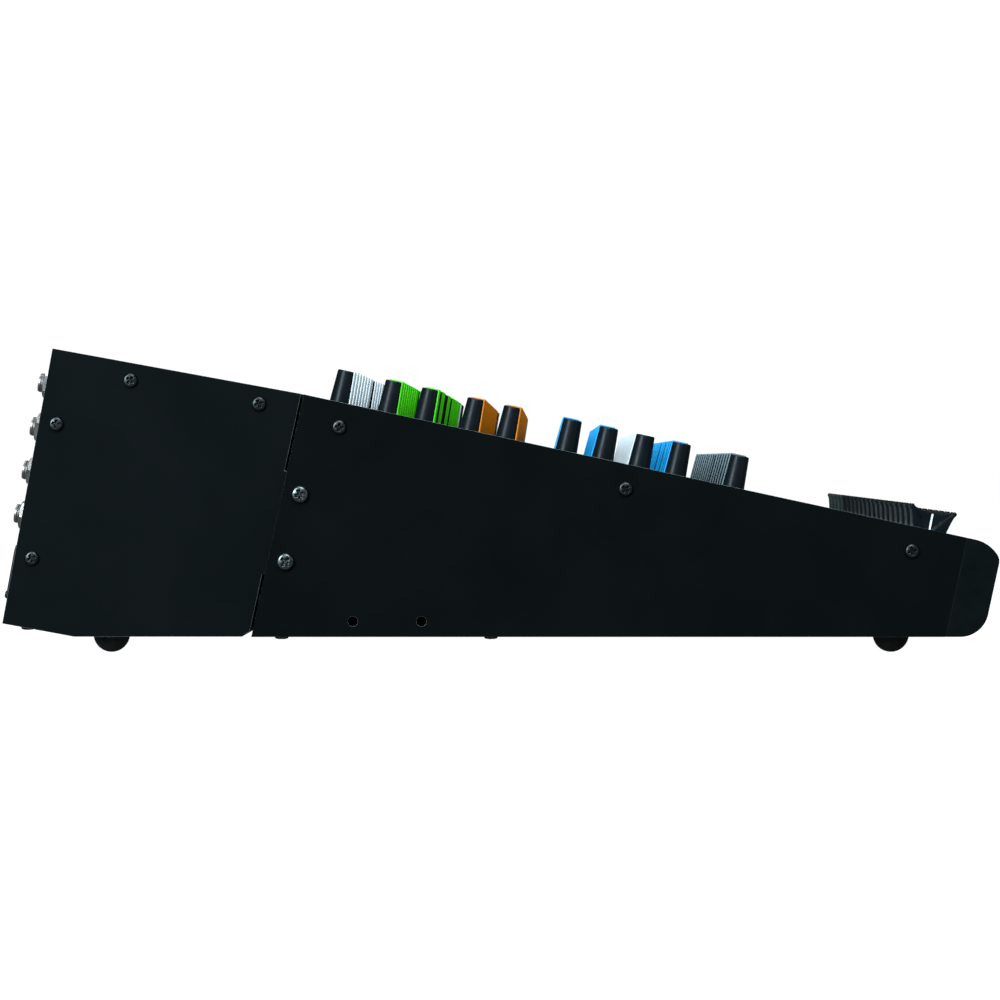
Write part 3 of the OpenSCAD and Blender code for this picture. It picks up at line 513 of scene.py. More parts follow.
def knobInsert(steps):
    # a bar carried up the flat, round the shoulder and most of the way across the top
    k = knobForm
    arc = np.linspace(0, math.pi / 2, steps)
    cornerR = 0.9 * mm
    sideY = k["topR"] + k["insertProud"] - 0.1 * mm
    topZ = k["top"] + k["insertTopProud"] - k["dish"] * 0.4
    y = np.concatenate([[k["skirtR"] + k["insertProud"] - 0.1 * mm], sideY - cornerR + cornerR * np.cos(arc),
                        [-k["insertReach"] * k["topR"]]])
    z = np.concatenate([[k["bottom"] + 0.2 * mm], topZ - cornerR + cornerR * np.sin(arc), [topZ]])
    ny = np.concatenate([[1.0], np.cos(arc), [0.0]])
    nz = np.concatenate([[0.0], np.sin(arc), [1.0]])
    h, r = k["insertHalf"], k["insertEdge"]
    section = np.array([[-h, -1.1 * mm], [-h, -r], [-h + 0.3 * r, -0.3 * r], [-h + r, 0],
                        [h - r, 0], [h - 0.3 * r, -0.3 * r], [h, -r], [h, -1.1 * mm]])
    depth = section[:, 1]
    points = np.stack([np.tile(section[:, 0], (len(y), 1)), y[:, None] + ny[:, None] * depth,
                       z[:, None] + nz[:, None] * depth], axis=-1).reshape(-1, 3)
    return points, tubeFaces(len(y), len(section))


rowColour = ["white", "green", "green", "orange", "orange", "blue", "blue", "white", "blue", "grey"]
fineKnob, fineInsert = knobBody(48, 6), knobInsert(7)
plainKnob, plainInsert = knobBody(22, 3), knobInsert(3)
restTurn = [150.0 if row < 5 else 0.0 for row in range(10)]  # at the lower stop, or upright

for row, name in enumerate(knobNames):
    body = onDeck(turned(fineKnob, restTurn[row]), rowPoint[row])
    bar = onDeck(turned(fineInsert, restTurn[row]), rowPoint[row])
    makePiece(name + "Body", body, mats["knob"], name, "knob_black", replaces=(name,))
    makePiece(name + "Pointer", bar, mats[rowColour[row]], name, "knob_black", heal=False)

# a few knobs stand away from their row's rest turn, by row and column
oddTurn = {(2, 1): 95.0, (2, 4): 40.0, (2, 5): -30.0, (2, 8): 128.0, (0, 7): 132.0, (1, 8): 136.0,
           (8, 3): 20.0, (8, 6): 24.0, (9, 6): -18.0}
# the other strips' knobs, and the master section's, as one piece of bodies and one of each pointer colour
bodies, bars = [], {}
for row in range(10):
    for column in columnsOf(row, 1):
        turn = restTurn[row]
        colour = rowColour[row]
        if column >= stripCount:
            colour, turn = "white", 150.0 - 50.0 * ((column + row) % 3)
        turn = oddTurn.get((row, column), turn)
        place = rowPoint[row] + across * stripPitch * column
        bodies.append(onDeck(turned(plainKnob, turn), place))
        bars.setdefault(colour, []).append(onDeck(turned(plainInsert, turn), place))
makeFixed("panelKnobBodies", bodies, "knob", "knob_black", replaces=("panel_knobs",))
for colour, shapes in bars.items():
    makeFixed("panelPointers_" + colour, shapes, colour, "knob_black", heal=False)
print("knobs made:", len(bodies) + len(knobNames))


# fader caps

capForm = {
    "half": 5.25 * mm, "bottom": -1.0 * mm, "height": 11.2 * mm, "scoop": 2.9 * mm, "scoopHalf": 9.25 * mm,
    "topHalf": 10.1 * mm, "recess": 0.95 * mm, "corner": 0.55 * mm, "crown": 0.12 * mm,
    "lineHalf": 0.42 * mm, "lineProud": 0.06 * mm,
    "stem": (1.2 * mm, 5.0 * mm, 7.4 * mm), "stemFoot": -6.4 * mm,
}


def capTop(y):
    # height of the finger scoop: a circular hollow between two lips
    c = capForm
    radius = (c["scoopHalf"] ** 2 + c["scoop"] ** 2) / (2 * c["scoop"])
    inside = np.minimum(np.abs(y), c["scoopHalf"])
    return c["height"] - c["scoop"] + radius - np.sqrt(radius ** 2 - inside ** 2)


def capLength(z):
    # half length at a height: nearly upright ends, then a lip that flares and turns in
    return np.interp(z, np.array([0, 4.0, 7.4, 8.7, 9.6, 10.3, 10.9, 11.2]) * mm,
                     np.array([7.6, 8.6, 9.55, 10.05, 10.75, 10.95, 10.6, 10.1]) * mm)


def capRecess(t, h):
    # the sides are pressed in between two creases that run from the foot of the middle up to the lips
    edge = 0.12 + 0.80 * h
    inside = np.clip((edge - np.abs(t)) / 0.07, 0, 1)
    return capForm["recess"] * inside * np.clip(0.35 + h, 0, 1)


def capHalf(t, h):
    # half width: the recess between the creases, and a rounded corner toward each end
    beyond = np.clip((np.abs(t) - 1) * capForm["half"] * 2 + capForm["corner"], 0, capForm["corner"])
    rounding = capForm["corner"] - np.sqrt(capForm["corner"] ** 2 - beyond ** 2)
    return capForm["half"] - capRecess(t, h) - rounding


def capSide(sign, stations, levels):
    # one flank: share of the half length by share of the height, each height's own length and width
    t, h = np.meshgrid(stations, levels, indexing="ij")
    z = h * capTop(t * capForm["topHalf"])
    y = t * capLength(z)
    x = sign * capHalf(t, h)
    return sheet(x, y, z)


def capShell():
    # two flanks, a crowned top, a flat foot and two ends, all on the same stations and levels
    nearEnd = 1 - 0.052 * (1 - np.sin(np.linspace(0, math.pi / 2, 6)))
    stations = np.concatenate([-nearEnd[::-1], np.linspace(-0.94, 0.94, 57), nearEnd])
    levels = np.concatenate([np.linspace(0, 0.7, 8), np.linspace(0.75, 1, 8)])
    widths = np.linspace(-1, 1, 7)
    parts = [capSide(1, stations, levels), capSide(-1, stations, levels)]
    t, w = np.meshgrid(stations, widths, indexing="ij")
    top = capTop(t * capForm["topHalf"])
    halfWidth = capHalf(t, np.ones_like(t))
    crown = capForm["crown"] * (1 - w * w)
    parts.append(sheet(w * halfWidth, t * capLength(top), top - crown))
    bottomHalf = capHalf(t, np.zeros_like(t))
    parts.append(sheet(w * bottomHalf, t * capLength(0 * t), 0 * t))
    for end in (-1.0, 1.0):
        h, w = np.meshgrid(levels, widths, indexing="ij")
        z = h * capTop(np.array(end * capForm["topHalf"]))
        halfWidth = capHalf(np.full_like(h, end), h)
        dip = capForm["crown"] * (1 - w * w) * (h >= 1)
        parts.append(sheet(w * halfWidth, end * capLength(z), z - dip))
    return joined(parts)


def capLine():
    # the white line: up one side at mid length, over the scoop, and down the other side
    c = capForm
    h = np.linspace(0.06, 1, 9)
    top = float(capTop(np.array(0.0)))
    sideX = c["half"] - capRecess(np.zeros_like(h), h)
    x = np.concatenate([-sideX, np.linspace(-sideX[-1], sideX[-1], 7)[1:-1], sideX[::-1]])
    flatCount = len(x) - 2 * len(h)
    w = np.linspace(-1, 1, flatCount + 2)[1:-1]
    z = np.concatenate([h * top, top - c["crown"] * (1 - w * w), (h * top)[::-1]])
    path = np.stack([x, z], axis=1)
    step = np.gradient(path, axis=0)
    normal = np.stack([-step[:, 1], step[:, 0]], axis=1)
    normal /= np.linalg.norm(normal, axis=1)[:, None]
    section = np.array([[-1, -0.3], [-1, 1], [1, 1], [1, -0.3]])
    offset = section[:, 1] * c["lineProud"]
    px = path[:, 0][:, None] + normal[:, 0][:, None] * offset
    pz = path[:, 1][:, None] + normal[:, 1][:, None] * offset
    py = np.tile(section[:, 0] * c["lineHalf"], (len(path), 1))
    return np.stack([px, py, pz], axis=-1).reshape(-1, 3), tubeFaces(len(path), len(section))


capBase, lineBase = capShell(), capLine()
stemBase = shifted(roundedBox(*capForm["stem"], 0.3 * mm, 2), 0, 0, capForm["stemFoot"])
for name in capNames:
    foot = deckFoot(name, capForm["bottom"])
    finish = "capGrey" if name in masterCaps else "cap"
    slot = "cap_grey" if name in masterCaps else "cap_black"
    shell = joined([onDeck(capBase, foot), onDeck(stemBase, foot)])
    makePiece(name + "Shell", shell, mats[finish], name, slot, replaces=(name,), smooth=28)
    makePiece(name + "Line", onDeck(lineBase, foot), mats["line"], name, slot, heal=False)
print("fader caps made")


# push buttons

buttonForm = {"width": 4.4 * mm, "height": 4.2 * mm, "edge": 0.5 * mm, "foot": -4.4 * mm,
              "muteFrom": 10 * mm, "muteTo": 18 * mm}  # mutes lie in this band below the pan knobs
buttonBase = shifted(roundedBox(buttonForm["width"], buttonForm["width"], buttonForm["height"],
                                buttonForm["edge"], 2), 0, 0, buttonForm["foot"])
lows, highs = islands("panel_buttons", deckAxes)
greys, reds = [], []
for low, high in zip(lows, highs):
    foot = onPlane(low, high, deckAxes, deckPlane)
    along = float(np.dot(rowPoint[9] - foot, deckUp))
    isMute = buttonForm["muteFrom"] < along < buttonForm["muteTo"]
    (reds if isMute else greys).append(onDeck(buttonBase, foot))
makeFixed("panelButtonsGrey", greys, "buttonGrey", "button_grey", replaces=("panel_buttons",))
makeFixed("panelButtonsRed", reds, "buttonRed", "button_grey")
for name, finish in (("low_cut_button", "buttonGrey"), ("mute_button", "buttonRed")):
    makePiece(name + "Top", onDeck(buttonBase, deckFoot(name)), mats[finish], name, "button_grey",
              replaces=(name,))
print("buttons made:", len(lows) + 2)


# print on the deck

printForm = {
    "lift": 0.04 * mm, "dialInner": 6.3 * mm, "dialOuter": 7.4 * mm, "dialCount": 11, "dialWidth": 0.28 * mm,
    "slotGap": 1.9 * mm, "markHalf": 4.6 * mm, "stripTop": 10 * mm, "stripFoot": -282 * mm,
    "stripWidth": 0.3 * mm, "zoneHalf": 9.6 * mm, "zoneAbove": 8.6 * mm, "zoneBelow": 8.8 * mm,
}


def flatBar(x0, y0, x1, y1, width):
    # a thin printed bar between two points of the deck
    along = np.array([x1 - x0, y1 - y0])
    side = np.array([-along[1], along[0]]) / np.linalg.norm(along) * width / 2
    points = np.array([[x0 - side[0], y0 - side[1], 0], [x1 - side[0], y1 - side[1], 0],
                       [x1 + side[0], y1 + side[1], 0], [x0 + side[0], y0 + side[1], 0]])
    return points, [np.array([[0, 1, 2, 3]])]


def dialMarks():
    # marks over the knob's 300 degree turn, the end and middle ones longer
    inner, outer, count, width = (printForm[k] for k in ("dialInner", "dialOuter", "dialCount", "dialWidth"))
    bars = []
    for i in range(count):
        a = math.radians(90 + 150 - 300 * i / (count - 1))
        far = outer + (0.5 * mm if i in (0, count // 2, count - 1) else 0)
        bars.append(flatBar(inner * math.cos(a), inner * math.sin(a), far * math.cos(a),
                            far * math.sin(a), width))
    return joined(bars)


def faderMarks(travel):
    # lines beside the slot, closer together towards the foot as on a logarithmic fader
    half, gap = printForm["markHalf"], printForm["slotGap"]
    bars = []
    for i, share in enumerate([0.0, 0.06, 0.13, 0.22, 0.32, 0.43, 0.55, 0.66, 0.77, 0.885, 1.0]):
        width = 0.45 * mm if i in (0, 8, 10) else 0.25 * mm
        for side in (-1, 1):
            bars.append(flatBar(side * gap, share * travel, side * half, share * travel, width))
    return joined(bars)


deckTop = -deckDrop + printForm["lift"]
marks, zones = [], []
dial = dialMarks()
for row in range(10):
    for column in columnsOf(row):
        marks.append(onDeck(dial, rowPoint[row] + across * stripPitch * column + deckOut * deckTop))
faderTravel = jointOf["fader_cap_1"]["range_m"][1]
scale = faderMarks(faderTravel)
for name in capNames:
    marks.append(onDeck(scale, deckFoot(name, deckTop)))
for column in range(stripCount + 1):
    x = stripPitch * (column - 0.5) + (0.9 * mm if column == stripCount else 0)
    origin = rowPoint[0] + across * x + deckOut * deckTop
    marks.append(onDeck(flatBar(0, printForm["stripTop"], 0, printForm["stripFoot"],
                                printForm["stripWidth"]), origin))
for first, last in ((1, 2), (3, 4), (5, 8)):
    y0 = float(np.dot(rowPoint[first] - rowPoint[0], deckUp)) + printForm["zoneAbove"]
    y1 = float(np.dot(rowPoint[last] - rowPoint[0], deckUp)) - printForm["zoneBelow"]
    half = printForm["zoneHalf"]
    origin = rowPoint[0] + deckOut * (deckTop - 0.02 * mm)
    for column in range(stripCount):
        x = stripPitch * column
        corners = np.array([[x - half, y1, 0], [x + half, y1, 0], [x + half, y0, 0], [x - half, y0, 0]])
        zones.append(onDeck((corners, [np.array([[0, 1, 2, 3]])]), origin))
makeFixed("deckMarks", marks, "print", "deck_steel", heal=False)
makeFixed("deckZones", zones, "printDark", "deck_steel", heal=False)
print("deck print made")


# level meter

meterForm = {
    "lamps": 12, "lampWidth": 3.2 * mm, "lampLength": 4.4 * mm, "lampHeight": 0.5 * mm,
    "columnGap": 5.2 * mm, "lampPitch": 6.7 * mm, "lift": 0.4 * mm,
}
meterMiddle = deckFoot("level_meter", meterForm["lift"] - deckDrop)
lampBase = roundedBox(meterForm["lampWidth"], meterForm["lampLength"], meterForm["lampHeight"], 0.2 * mm, 2)
lamps = {"ledGreen": [], "ledAmber": [], "ledRed": []}
for i in range(meterForm["lamps"]):
    finish = "ledRed" if i > 10 else "ledAmber" if i > 7 else "ledGreen"
    for side in (-0.5, 0.5):
        step = deckUp * meterForm["lampPitch"] * (i - (meterForm["lamps"] - 1) / 2)
        place = meterMiddle + across * side * meterForm["columnGap"] + step
        lamps[finish].append(onDeck(lampBase, place))
for finish, shapes in lamps.items():
    makeFixed("meterLamps_" + finish, shapes, finish, "meter_window")
print("level meter made")


# screws and bolts

def panHead(radius, height, recess, segments=64, rings=22):
    # a domed head with a cross recess, as a height over a polar grid, closed by a flat underside
    r = radius * np.concatenate([np.linspace(0, 0.72, rings) ** 0.9, [0.86, 0.95, 0.99, 1.0]])
    angle = np.linspace(0, 2 * math.pi, segments, endpoint=False)
    rr, aa = np.meshgrid(r[1:], angle, indexing="ij")
    x, y = rr * np.cos(aa), rr * np.sin(aa)
    share = rr / radius
    dome = height * (1 - 0.28 * share ** 2 - 0.5 * np.clip((share - 0.84) / 0.16, 0, 1) ** 2.2)

    def slotDepth(u, v):
        wide = np.clip((recess["half"] + recess["slope"] - np.abs(v)) / recess["slope"], 0, 1)
        long = np.clip((recess["reach"] - np.abs(u)) / (0.35 * recess["reach"]), 0, 1)
        return wide * long
    cut = recess["depth"] * np.maximum(slotDepth(x, y), slotDepth(y, x))
    z = dome - cut
    top = np.stack([x, y, z], axis=-1).reshape(-1, 3)
    centre = np.array([[0, 0, height - recess["depth"]]])
    rim = np.stack([radius * np.cos(angle), radius * np.sin(angle), np.zeros(segments)], axis=-1)
    inner = rim * 0.45
    rows = len(r) - 1
    points = np.concatenate([top, rim, inner, centre])
    ring = np.arange(segments)
    fan = np.stack([np.full(segments, len(points) - 1), ring, (ring + 1) % segments], axis=-1)
    last = (ring + (rows + 1) * segments)[None, :]
    return points, [gridFaces(rows + 2, segments, closed=True), fan, last]


caseScrew = {"radius": 3.3 * mm, "height": 1.9 * mm,
             "recess": {"half": 0.32 * mm, "slope": 0.34 * mm, "reach": 1.95 * mm, "depth": 1.25 * mm}}
podBolt = {"radius": 4.0 * mm, "height": 2.6 * mm,
           "recess": {"half": 0.40 * mm, "slope": 0.42 * mm, "reach": 2.45 * mm, "depth": 1.6 * mm}}
shankLength = 6 * mm
sideFrom = 200 * mm  # screws further out than this stand in a side plate


def screwShapes(node, form, shank):
    # a head on the outer end of each of the node's screws, facing the way that the screw lies
    head = panHead(form["radius"], form["height"], form["recess"])
    shapes = []
    lows, highs = islands(node, worldAxes)
    for i, (low, high) in enumerate(zip(lows, highs)):
        middle, size = (low + high) / 2, high - low
        if abs(middle[0]) > sideFrom and size[0] > size[2]:
            axis, top = np.array([math.copysign(1, middle[0]), 0, 0]), middle.copy()
            top[0] = low[0] if middle[0] < 0 else high[0]
        else:
            axis = jackDown if size[1] > 2.3 * form["radius"] else np.array([0, 0, -1.0])
            top = middle + axis * (shank + form["height"]) / 2
        side = np.cross([0, 1.0, 0] if abs(axis[1]) < 0.5 else [0, 0, 1.0], axis)
        side = side / np.linalg.norm(side)
        shapes.append(placed(turned(head, 17 + 31 * i), top - axis * form["height"], side,
                             np.cross(axis, side), axis))
    return joined(shapes), len(shapes)


shapes, count = screwShapes("case_screws", caseScrew, shankLength)
makePiece("caseScrewHeads", shapes, mats["screw"], "housing", "screw_black",
          replaces=("case_screws",), smooth=50)
shapes, boltCount = screwShapes("pod_bolts", podBolt, shankLength + 3 * mm)
makePiece("podBoltHeads", shapes, mats["bolt"], "housing", "bolt_steel",
          replaces=("pod_bolts",), smooth=50)
print("screws made:", count, "bolts made:", boltCount)


# rubber feet

def domedFoot(radius, height, steps=12, segments=40):
    # most of a half ball turned about z, cut to a small flat at the bottom
    ball = max(radius, height)
    arc = np.linspace(math.asin(min(1.0, height / ball)), 0.0, steps)
    profile = [(ball * math.cos(a), height - ball * math.sin(a)) for a in arc]
    return revolved([(profile[0][0] * 0.5, 0.0)] + profile + [(radius * 0.5, height)], segments)


feet = []
for low, high in zip(*islands("rubber_feet", worldAxes)):
    foot = domedFoot((high[0] - low[0]) / 2, high[2] - low[2])
    feet.append(shifted(foot, (low[0] + high[0]) / 2, (low[1] + high[1]) / 2, low[2]))
print("feet made:", len(feet))
makeFixed("rubberFeetDomes", feet, "rubber", "foot_rubber", replaces=("rubber_feet",))


# jack nuts and bushings

jackForm = {
    "nutFlats": 12.0 * mm, "nutHeight": 2.4 * mm, "washerR": 6.5 * mm, "washerHeight": 0.5 * mm,
    "threadR": 4.5 * mm, "boreR": 3.2 * mm, "reach": 5.4 * mm, "depth": 22 * mm, "pitch": 0.9 * mm,
    "body": (12.8 * mm, 12.8 * mm, 23.5 * mm), "bodyFoot": -25.2 * mm,
}


def hexNut(j):
    # six flats whose corners are turned down to a cone at the top
    count = 36
    angle = np.linspace(0, 2 * math.pi, count, endpoint=False)
    fold = (angle + math.pi / 6) % (math.pi / 3) - math.pi / 6
    flat = j["nutFlats"] / 2 / np.cos(fold)
    cone = j["nutFlats"] / 2 * 1.02
    base, top = j["washerHeight"], j["washerHeight"] + j["nutHeight"]
    drop = np.clip((flat - cone) * 0.6, 0, None)
    rows = [(flat, base), (flat, top - drop - 0.1 * mm), (np.minimum(flat, cone), top),
            (j["threadR"] + 0.25 * mm, top), (j["threadR"], top - 0.3 * mm), (j["threadR"], base)]
    level = np.ones(count)
    points = np.concatenate([np.stack([r * np.cos(angle), r * np.sin(angle), z * level], axis=-1)
                             for r, z in rows])
    return points, closedFaces(len(rows), count)


def washer(j):
    # a flat ring with an eased outer edge, turned about z
    r0, r1, h = j["threadR"] + 0.1 * mm, j["washerR"], j["washerHeight"]
    return revolved([(r1, 0), (r1, h * 0.7), (r1 - 0.15 * mm, h), (r0, h), (r0, 0)], 32, closedProfile=True)


def bushing(j):
    # a threaded ring with a chamfered mouth and a blind bore
    crest, root = j["threadR"] - 0.04 * mm, j["threadR"] - 0.22 * mm
    z = np.arange(2.6 * mm, j["reach"] - 0.5 * mm, j["pitch"] / 2)
    thread = [(crest if i % 2 == 0 else root, h) for i, h in enumerate(z)]
    mouth = [(crest - 0.3 * mm, j["reach"]), (j["boreR"] + 0.35 * mm, j["reach"]),
             (j["boreR"], j["reach"] - 0.4 * mm)]
    return revolved([(crest, -1.5 * mm)] + thread + mouth + [(j["boreR"], -j["depth"])], 28)


nutBase, washerBase, bushingBase = hexNut(jackForm), washer(jackForm), bushing(jackForm)
bodyBase = shifted(roundedBox(*jackForm["body"], 0.6 * mm, 2), 0, 0, jackForm["bodyFoot"])
nutMiddles = [onPlane(low, high, jackAxes, panelPlane) for low, high in zip(*islands("jack_nuts", jackAxes))]
nuts, bushings, bodyShapes = [], [], []
for i, place in enumerate(nutMiddles):
    nuts.append(onPanel(turned(nutBase, (i * 47) % 60), place))
    nuts.append(onPanel(washerBase, place))
    bushings.append(onPanel(bushingBase, place))
    bodyShapes.append(onPanel(bodyBase, place))
makeFixed("jackNutsAndWashers", nuts, "nickel", "nut_nickel", replaces=("jack_nuts",))
makeFixed("jackBushings", bushings, "nickel", "nut_nickel", heal=False)
makeFixed("jackBodies", bodyShapes, "jack", "jack_plastic", replaces=("phone_jacks",))
print("jacks made:", len(nutMiddles))


# XLR sockets

xlrForm = {
    "width": 21.6 * mm, "length": 25.6 * mm, "thick": 1.2 * mm, "corner": 3.0 * mm, "mouthR": 9.5 * mm,
    "coreR": 7.4 * mm, "throat": 9.6 * mm, "contactR": 3.9 * mm, "bodyR": 10.2 * mm, "depth": 24 * mm,
}


def roundedOutline(width, length, corner, angle):
    # where a ray at each angle from the middle meets a rectangle with round corners
    dx, dy = np.cos(angle), np.sin(angle)
    a, b = width / 2 - corner, length / 2 - corner
    far = np.linspace(0, max(width, length), 400)
    x, y = dx[:, None] * far, dy[:, None] * far
    out = np.hypot(np.maximum(np.abs(x) - a, 0), np.maximum(np.abs(y) - b, 0)) > corner
    reach = far[np.argmax(out, axis=1)]
    return dx * reach, dy * reach


def xlrFlange(f, segments=56):
    # rings in from the flange's outline to the mouth, down the groove, up the core and over its face
    angle = np.linspace(0, 2 * math.pi, segments, endpoint=False)
    ox, oy = roundedOutline(f["width"], f["length"], f["corner"], angle)
    ix, iy = np.cos(angle), np.sin(angle)
    edge = 1 - 0.35 * mm / np.hypot(ox, oy)
    m, c = f["mouthR"], f["coreR"]
    rows = [(ox, oy, 0), (ox, oy, f["thick"] - 0.3 * mm), (ox * edge, oy * edge, f["thick"]),
            (ix * (m + 0.5 * mm), iy * (m + 0.5 * mm), f["thick"]), (ix * m, iy * m, f["thick"] - 0.4 * mm),
            (ix * m, iy * m, -f["throat"]), (ix * c, iy * c, -f["throat"]), (ix * c, iy * c, -0.5 * mm),
            (ix * (c - 0.4 * mm), iy * (c - 0.4 * mm), -0.1 * mm), (ix * 0.5 * mm, iy * 0.5 * mm, -0.1 * mm)]
    points = np.concatenate([np.stack([x, y, np.full(segments, z)], axis=-1) for x, y, z in rows])
    return points, [gridFaces(len(rows), segments, closed=True),
                    (np.arange(segments) + (len(rows) - 1) * segments)[None, :]]


def xlrLatch():
    # the release tab above the mouth, and the key that stands in the groove
    tab = shifted(roundedBox(7.0 * mm, 3.4 * mm, 1.3 * mm, 0.5 * mm, 2), 0, -9.9 * mm, 1.0 * mm)
    key = shifted(roundedBox(2.2 * mm, 2.2 * mm, 9.0 * mm, 0.3 * mm, 1), 0, 8.4 * mm, -9.4 * mm)
    return joined([tab, key])


def contactCup():
    # a shallow ring round a contact's hole, turned about z
    return revolved([(1.3 * mm, -0.3 * mm), (1.3 * mm, 0.02 * mm), (1.15 * mm, 0.08 * mm),
                     (0.8 * mm, 0.08 * mm), (0.7 * mm, -0.06 * mm)], 16)


flangeBase, latchBase, cupBase = xlrFlange(xlrForm), xlrLatch(), contactCup()
xlrScrew = {"half": 0.18 * mm, "slope": 0.2 * mm, "reach": 1.05 * mm, "depth": 0.6 * mm}  # its cross slot
xlrScrewAt = ((-8.4 * mm, 10.5 * mm), (8.4 * mm, -10.5 * mm))
screwBase = panHead(1.7 * mm, 0.9 * mm, xlrScrew, 20, 7)
shellBase = revolved([(xlrForm["bodyR"], 0), (xlrForm["bodyR"], -xlrForm["depth"])], 32)
lows, highs = islands("xlr_sockets", jackAxes)
flanges, latches, cups, smallScrews = [], [], [], []
for low, high in zip(lows, highs):
    place = onPlane(low, high, jackAxes, panelPlane)
    flanges += [onPanel(flangeBase, place), onPanel(shellBase, place)]
    latches.append(onPanel(latchBase, place))
    for a in (30, 150, 270):
        x = xlrForm["contactR"] * math.cos(math.radians(a))
        y = xlrForm["contactR"] * math.sin(math.radians(a))
        cups.append(onPanel(shifted(cupBase, x, y, -0.1 * mm), place))
    for x, y in xlrScrewAt:
        smallScrews.append(onPanel(shifted(screwBase, x, y, xlrForm["thick"]), place))
makeFixed("xlrFlanges", flanges, "jack", "jack_plastic", replaces=("xlr_sockets",), heal=False)
makeFixed("xlrLatches", latches, "inner", "jack_plastic")
makeFixed("xlrContacts", cups, "brass", "nut_nickel", heal=False)
makeFixed("xlrScrews", smallScrews, "screw", "screw_black", heal=False)
print("XLR sockets made:", len(lows))


# RCA sockets, mains inlet and rocker

rcaRing = revolved([(3.9 * mm, 3.6 * mm), (3.9 * mm, 5.55 * mm), (3.6 * mm, 5.7 * mm),
                    (1.8 * mm, 5.7 * mm), (1.7 * mm, 4.8 * mm)], 24)
lows, highs = islands("rca_sockets", jackAxes)
rings = {"buttonRed": [], "line": []}
for low, high in zip(lows, highs):
    place = onPlane(low, high, jackAxes, panelPlane)
    finish = "line" if place[0] < (lows[:, 0].min() + highs[:, 0].max()) / 2 else "buttonRed"
    rings[finish].append(onPanel(rcaRing, place))
for finish, shapes in rings.items():
    makeFixed("rcaInsulators_" + finish, shapes, finish, "nut_nickel", heal=False)

lows, highs = islands("mains_inlet", jackAxes)
inletIndex = int(np.argmin((lows + highs)[:, 1]))
inletPlace = onPlane(lows[inletIndex], highs[inletIndex], jackAxes, panelPlane)
inletPin = {
    "size": (2.12 * mm, 4.12 * mm, 11.2 * mm), "foot": -14.1 * mm, "at": ((-7, 2.5), (7, 2.5), (0, -1.5)),
}
pinBase = shifted(roundedBox(*inletPin["size"], 0.6 * mm, 2), 0, 0, inletPin["foot"])
pins = [onPanel(shifted(pinBase, x * mm, y * mm), inletPlace) for x, y in inletPin["at"]]
makeFixed("inletPins", pins, "nickel", "nut_nickel")

rockerAxis = np.array(jointOf["power_rocker"]["pos_m"])
lean = math.radians(6)  # half the rocker's 12 degree tilt
rockerDown = jackDown * math.cos(lean) + jackOut * math.sin(lean)
rockerOut = jackOut * math.cos(lean) - jackDown * math.sin(lean)
markForm = {"away": 5.0 * mm, "ringR": 1.9 * mm, "ringBore": 1.45 * mm, "thick": 0.1 * mm,
            "ringFoot": 4.86 * mm, "bar": (0.5 * mm, 3.4 * mm, 0.12 * mm), "barFoot": 4.84 * mm}
ringProfile = [(markForm["ringR"], 0), (markForm["ringR"], markForm["thick"]),
               (markForm["ringBore"], markForm["thick"]), (markForm["ringBore"], 0)]
offMark = shifted(revolved(ringProfile, 28, closedProfile=True), 0, markForm["away"], markForm["ringFoot"])
onMark = shifted(roundedBox(*markForm["bar"], 0.05 * mm, 1), 0, -markForm["away"], markForm["barFoot"])
makePiece("rockerMarks", placed(joined([offMark, onMark]), rockerAxis, across, rockerDown, rockerOut),
          mats["line"], "power_rocker", "rocker_red", heal=False)
softenedPlate("jackPanelPlate", "jack_panel", mats["pod"], 0.3 * mm)
softenedPlate("noseShell", "front_nose", mats["nose"], 0.4 * mm, "nose")
softenedPlate("inletShell", "mains_inlet", mats["jack"], 0.3 * mm, "jack")
print("inlet and rocker made")


# camera, light and floor

view = {  # metres; the camera stands this far out from the left cheek
    "distance": 1.319, "y": -0.0221, "z": 0.0894, "lens": 104.35, "shiftX": -0.049, "shiftY": -0.041,
}


def makeCamera():
    # looks square at the operator's left side from just under the deck's plane
    camera = bpy.data.cameras.new("viewCamera")
    camera.lens = view["lens"]
    camera.shift_x = view["shiftX"]
    camera.shift_y = view["shiftY"]
    camera.clip_end = 50
    obj = bpy.data.objects.new("viewCamera", camera)
    obj.location = (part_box("left_cheek")[0][0] - view["distance"], view["y"], view["z"])
    obj.rotation_euler = (math.radians(90), 0, math.radians(-90))
    bpy.context.scene.collection.objects.link(obj)
    bpy.context.scene.camera = obj


def makeLight(name, place, target, size, sizeY, power, colour):
    # a rectangular lamp turned to face a point
    lamp = bpy.data.lights.new(name, "AREA")
    lamp.energy = power
    lamp.color = colour
    lamp.shape = "RECTANGLE"
    lamp.size = size
    lamp.size_y = sizeY
    obj = bpy.data.objects.new(name, lamp)
    obj.location = place
    aim = np.array(target) - np.array(place)
    tip = math.atan2(math.hypot(aim[0], aim[1]), -aim[2])
    obj.rotation_euler = (tip, 0, math.atan2(aim[1], aim[0]) - math.pi / 2)
    bpy.context.scene.collection.objects.link(obj)


stageForm = {
    "floorHalf": 15.0, "floorDim": 0.10, "floorBright": 1.0, "surroundDim": 0.04, "surroundBright": 1.05,
}


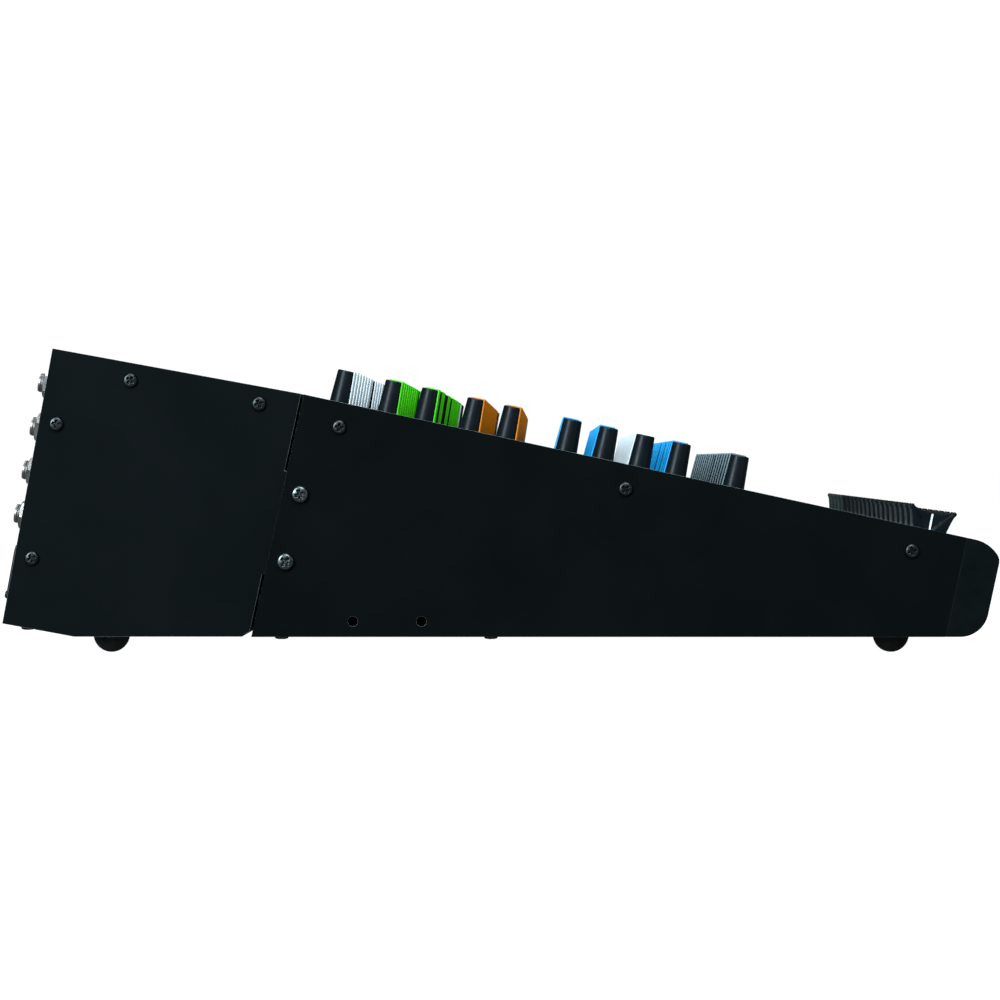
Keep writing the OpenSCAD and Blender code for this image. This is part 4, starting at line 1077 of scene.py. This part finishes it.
def addCameraLevel(nodes, links, dim, bright, target):
    # bright where the camera looks straight at it, dim as a source of light on the object
    path = nodes.new("ShaderNodeLightPath")
    level = nodes.new("ShaderNodeMapRange")
    level.inputs["To Min"].default_value = dim
    level.inputs["To Max"].default_value = bright
    links.new(path.outputs["Is Camera Ray"], level.inputs["Value"])
    links.new(level.outputs["Result"], target)


def makeStage():
    # a pale floor that fades into a white surround; both light the object only a little
    half = stageForm["floorHalf"]
    corners = [(-half, -half, 0), (half, -half, 0), (half, half, 0), (-half, half, 0)]
    floor = bpy.data.meshes.new("floor")
    floor.from_pydata(corners, [], [(0, 1, 2, 3)])
    mat, nodes, links, shader = newMaterial("floorPaint", (0.10, 0.10, 0.10), 0.9, specular=0.02)
    shader.inputs["Emission Color"].default_value = (1, 1, 1, 1)
    addCameraLevel(nodes, links, stageForm["floorDim"], stageForm["floorBright"],
                   shader.inputs["Emission Strength"])
    floor.materials.append(mat)
    obj = bpy.data.objects.new("floor", floor)
    bpy.context.scene.collection.objects.link(obj)
    world = bpy.data.worlds.new("studio")
    world.use_nodes = True
    nodes, links = world.node_tree.nodes, world.node_tree.links
    addCameraLevel(nodes, links, stageForm["surroundDim"], stageForm["surroundBright"],
                   nodes["Background"].inputs["Strength"])
    nodes["Background"].inputs["Color"].default_value = (1, 1, 1, 1)
    bpy.context.scene.world = world
    bpy.context.scene.view_settings.view_transform = "Standard"


makeCamera()
makeStage()
coolWhite, paleBlue = (0.74, 0.90, 1.0), (0.86, 0.95, 1.0)
lights = {  # place, point faced, width, height, watts, colour
    "rearKey": ((-2.14, 1.47, 1.0), (-0.1, 0.05, 0.10), 0.6, 1.4, 92, coolWhite),
    "frontKey": ((-1.4, -2.2, 0.9), (0, 0.0, 0.10), 0.4, 1.2, 7, coolWhite),
    "operatorFill": ((-2.4, -0.3, 2.3), (0, 0, 0.05), 1.2, 1.2, 88, paleBlue),
    "topSoft": ((0.0, 0.1, 2.2), (0, 0, 0), 1.8, 1.8, 46, paleBlue),
    "farSoft": ((1.6, 0.2, 2.6), (0, 0, 0.05), 1.2, 1.2, 30, paleBlue),
}
for name, values in lights.items():
    makeLight(name, *values)
print("camera, light and floor set")
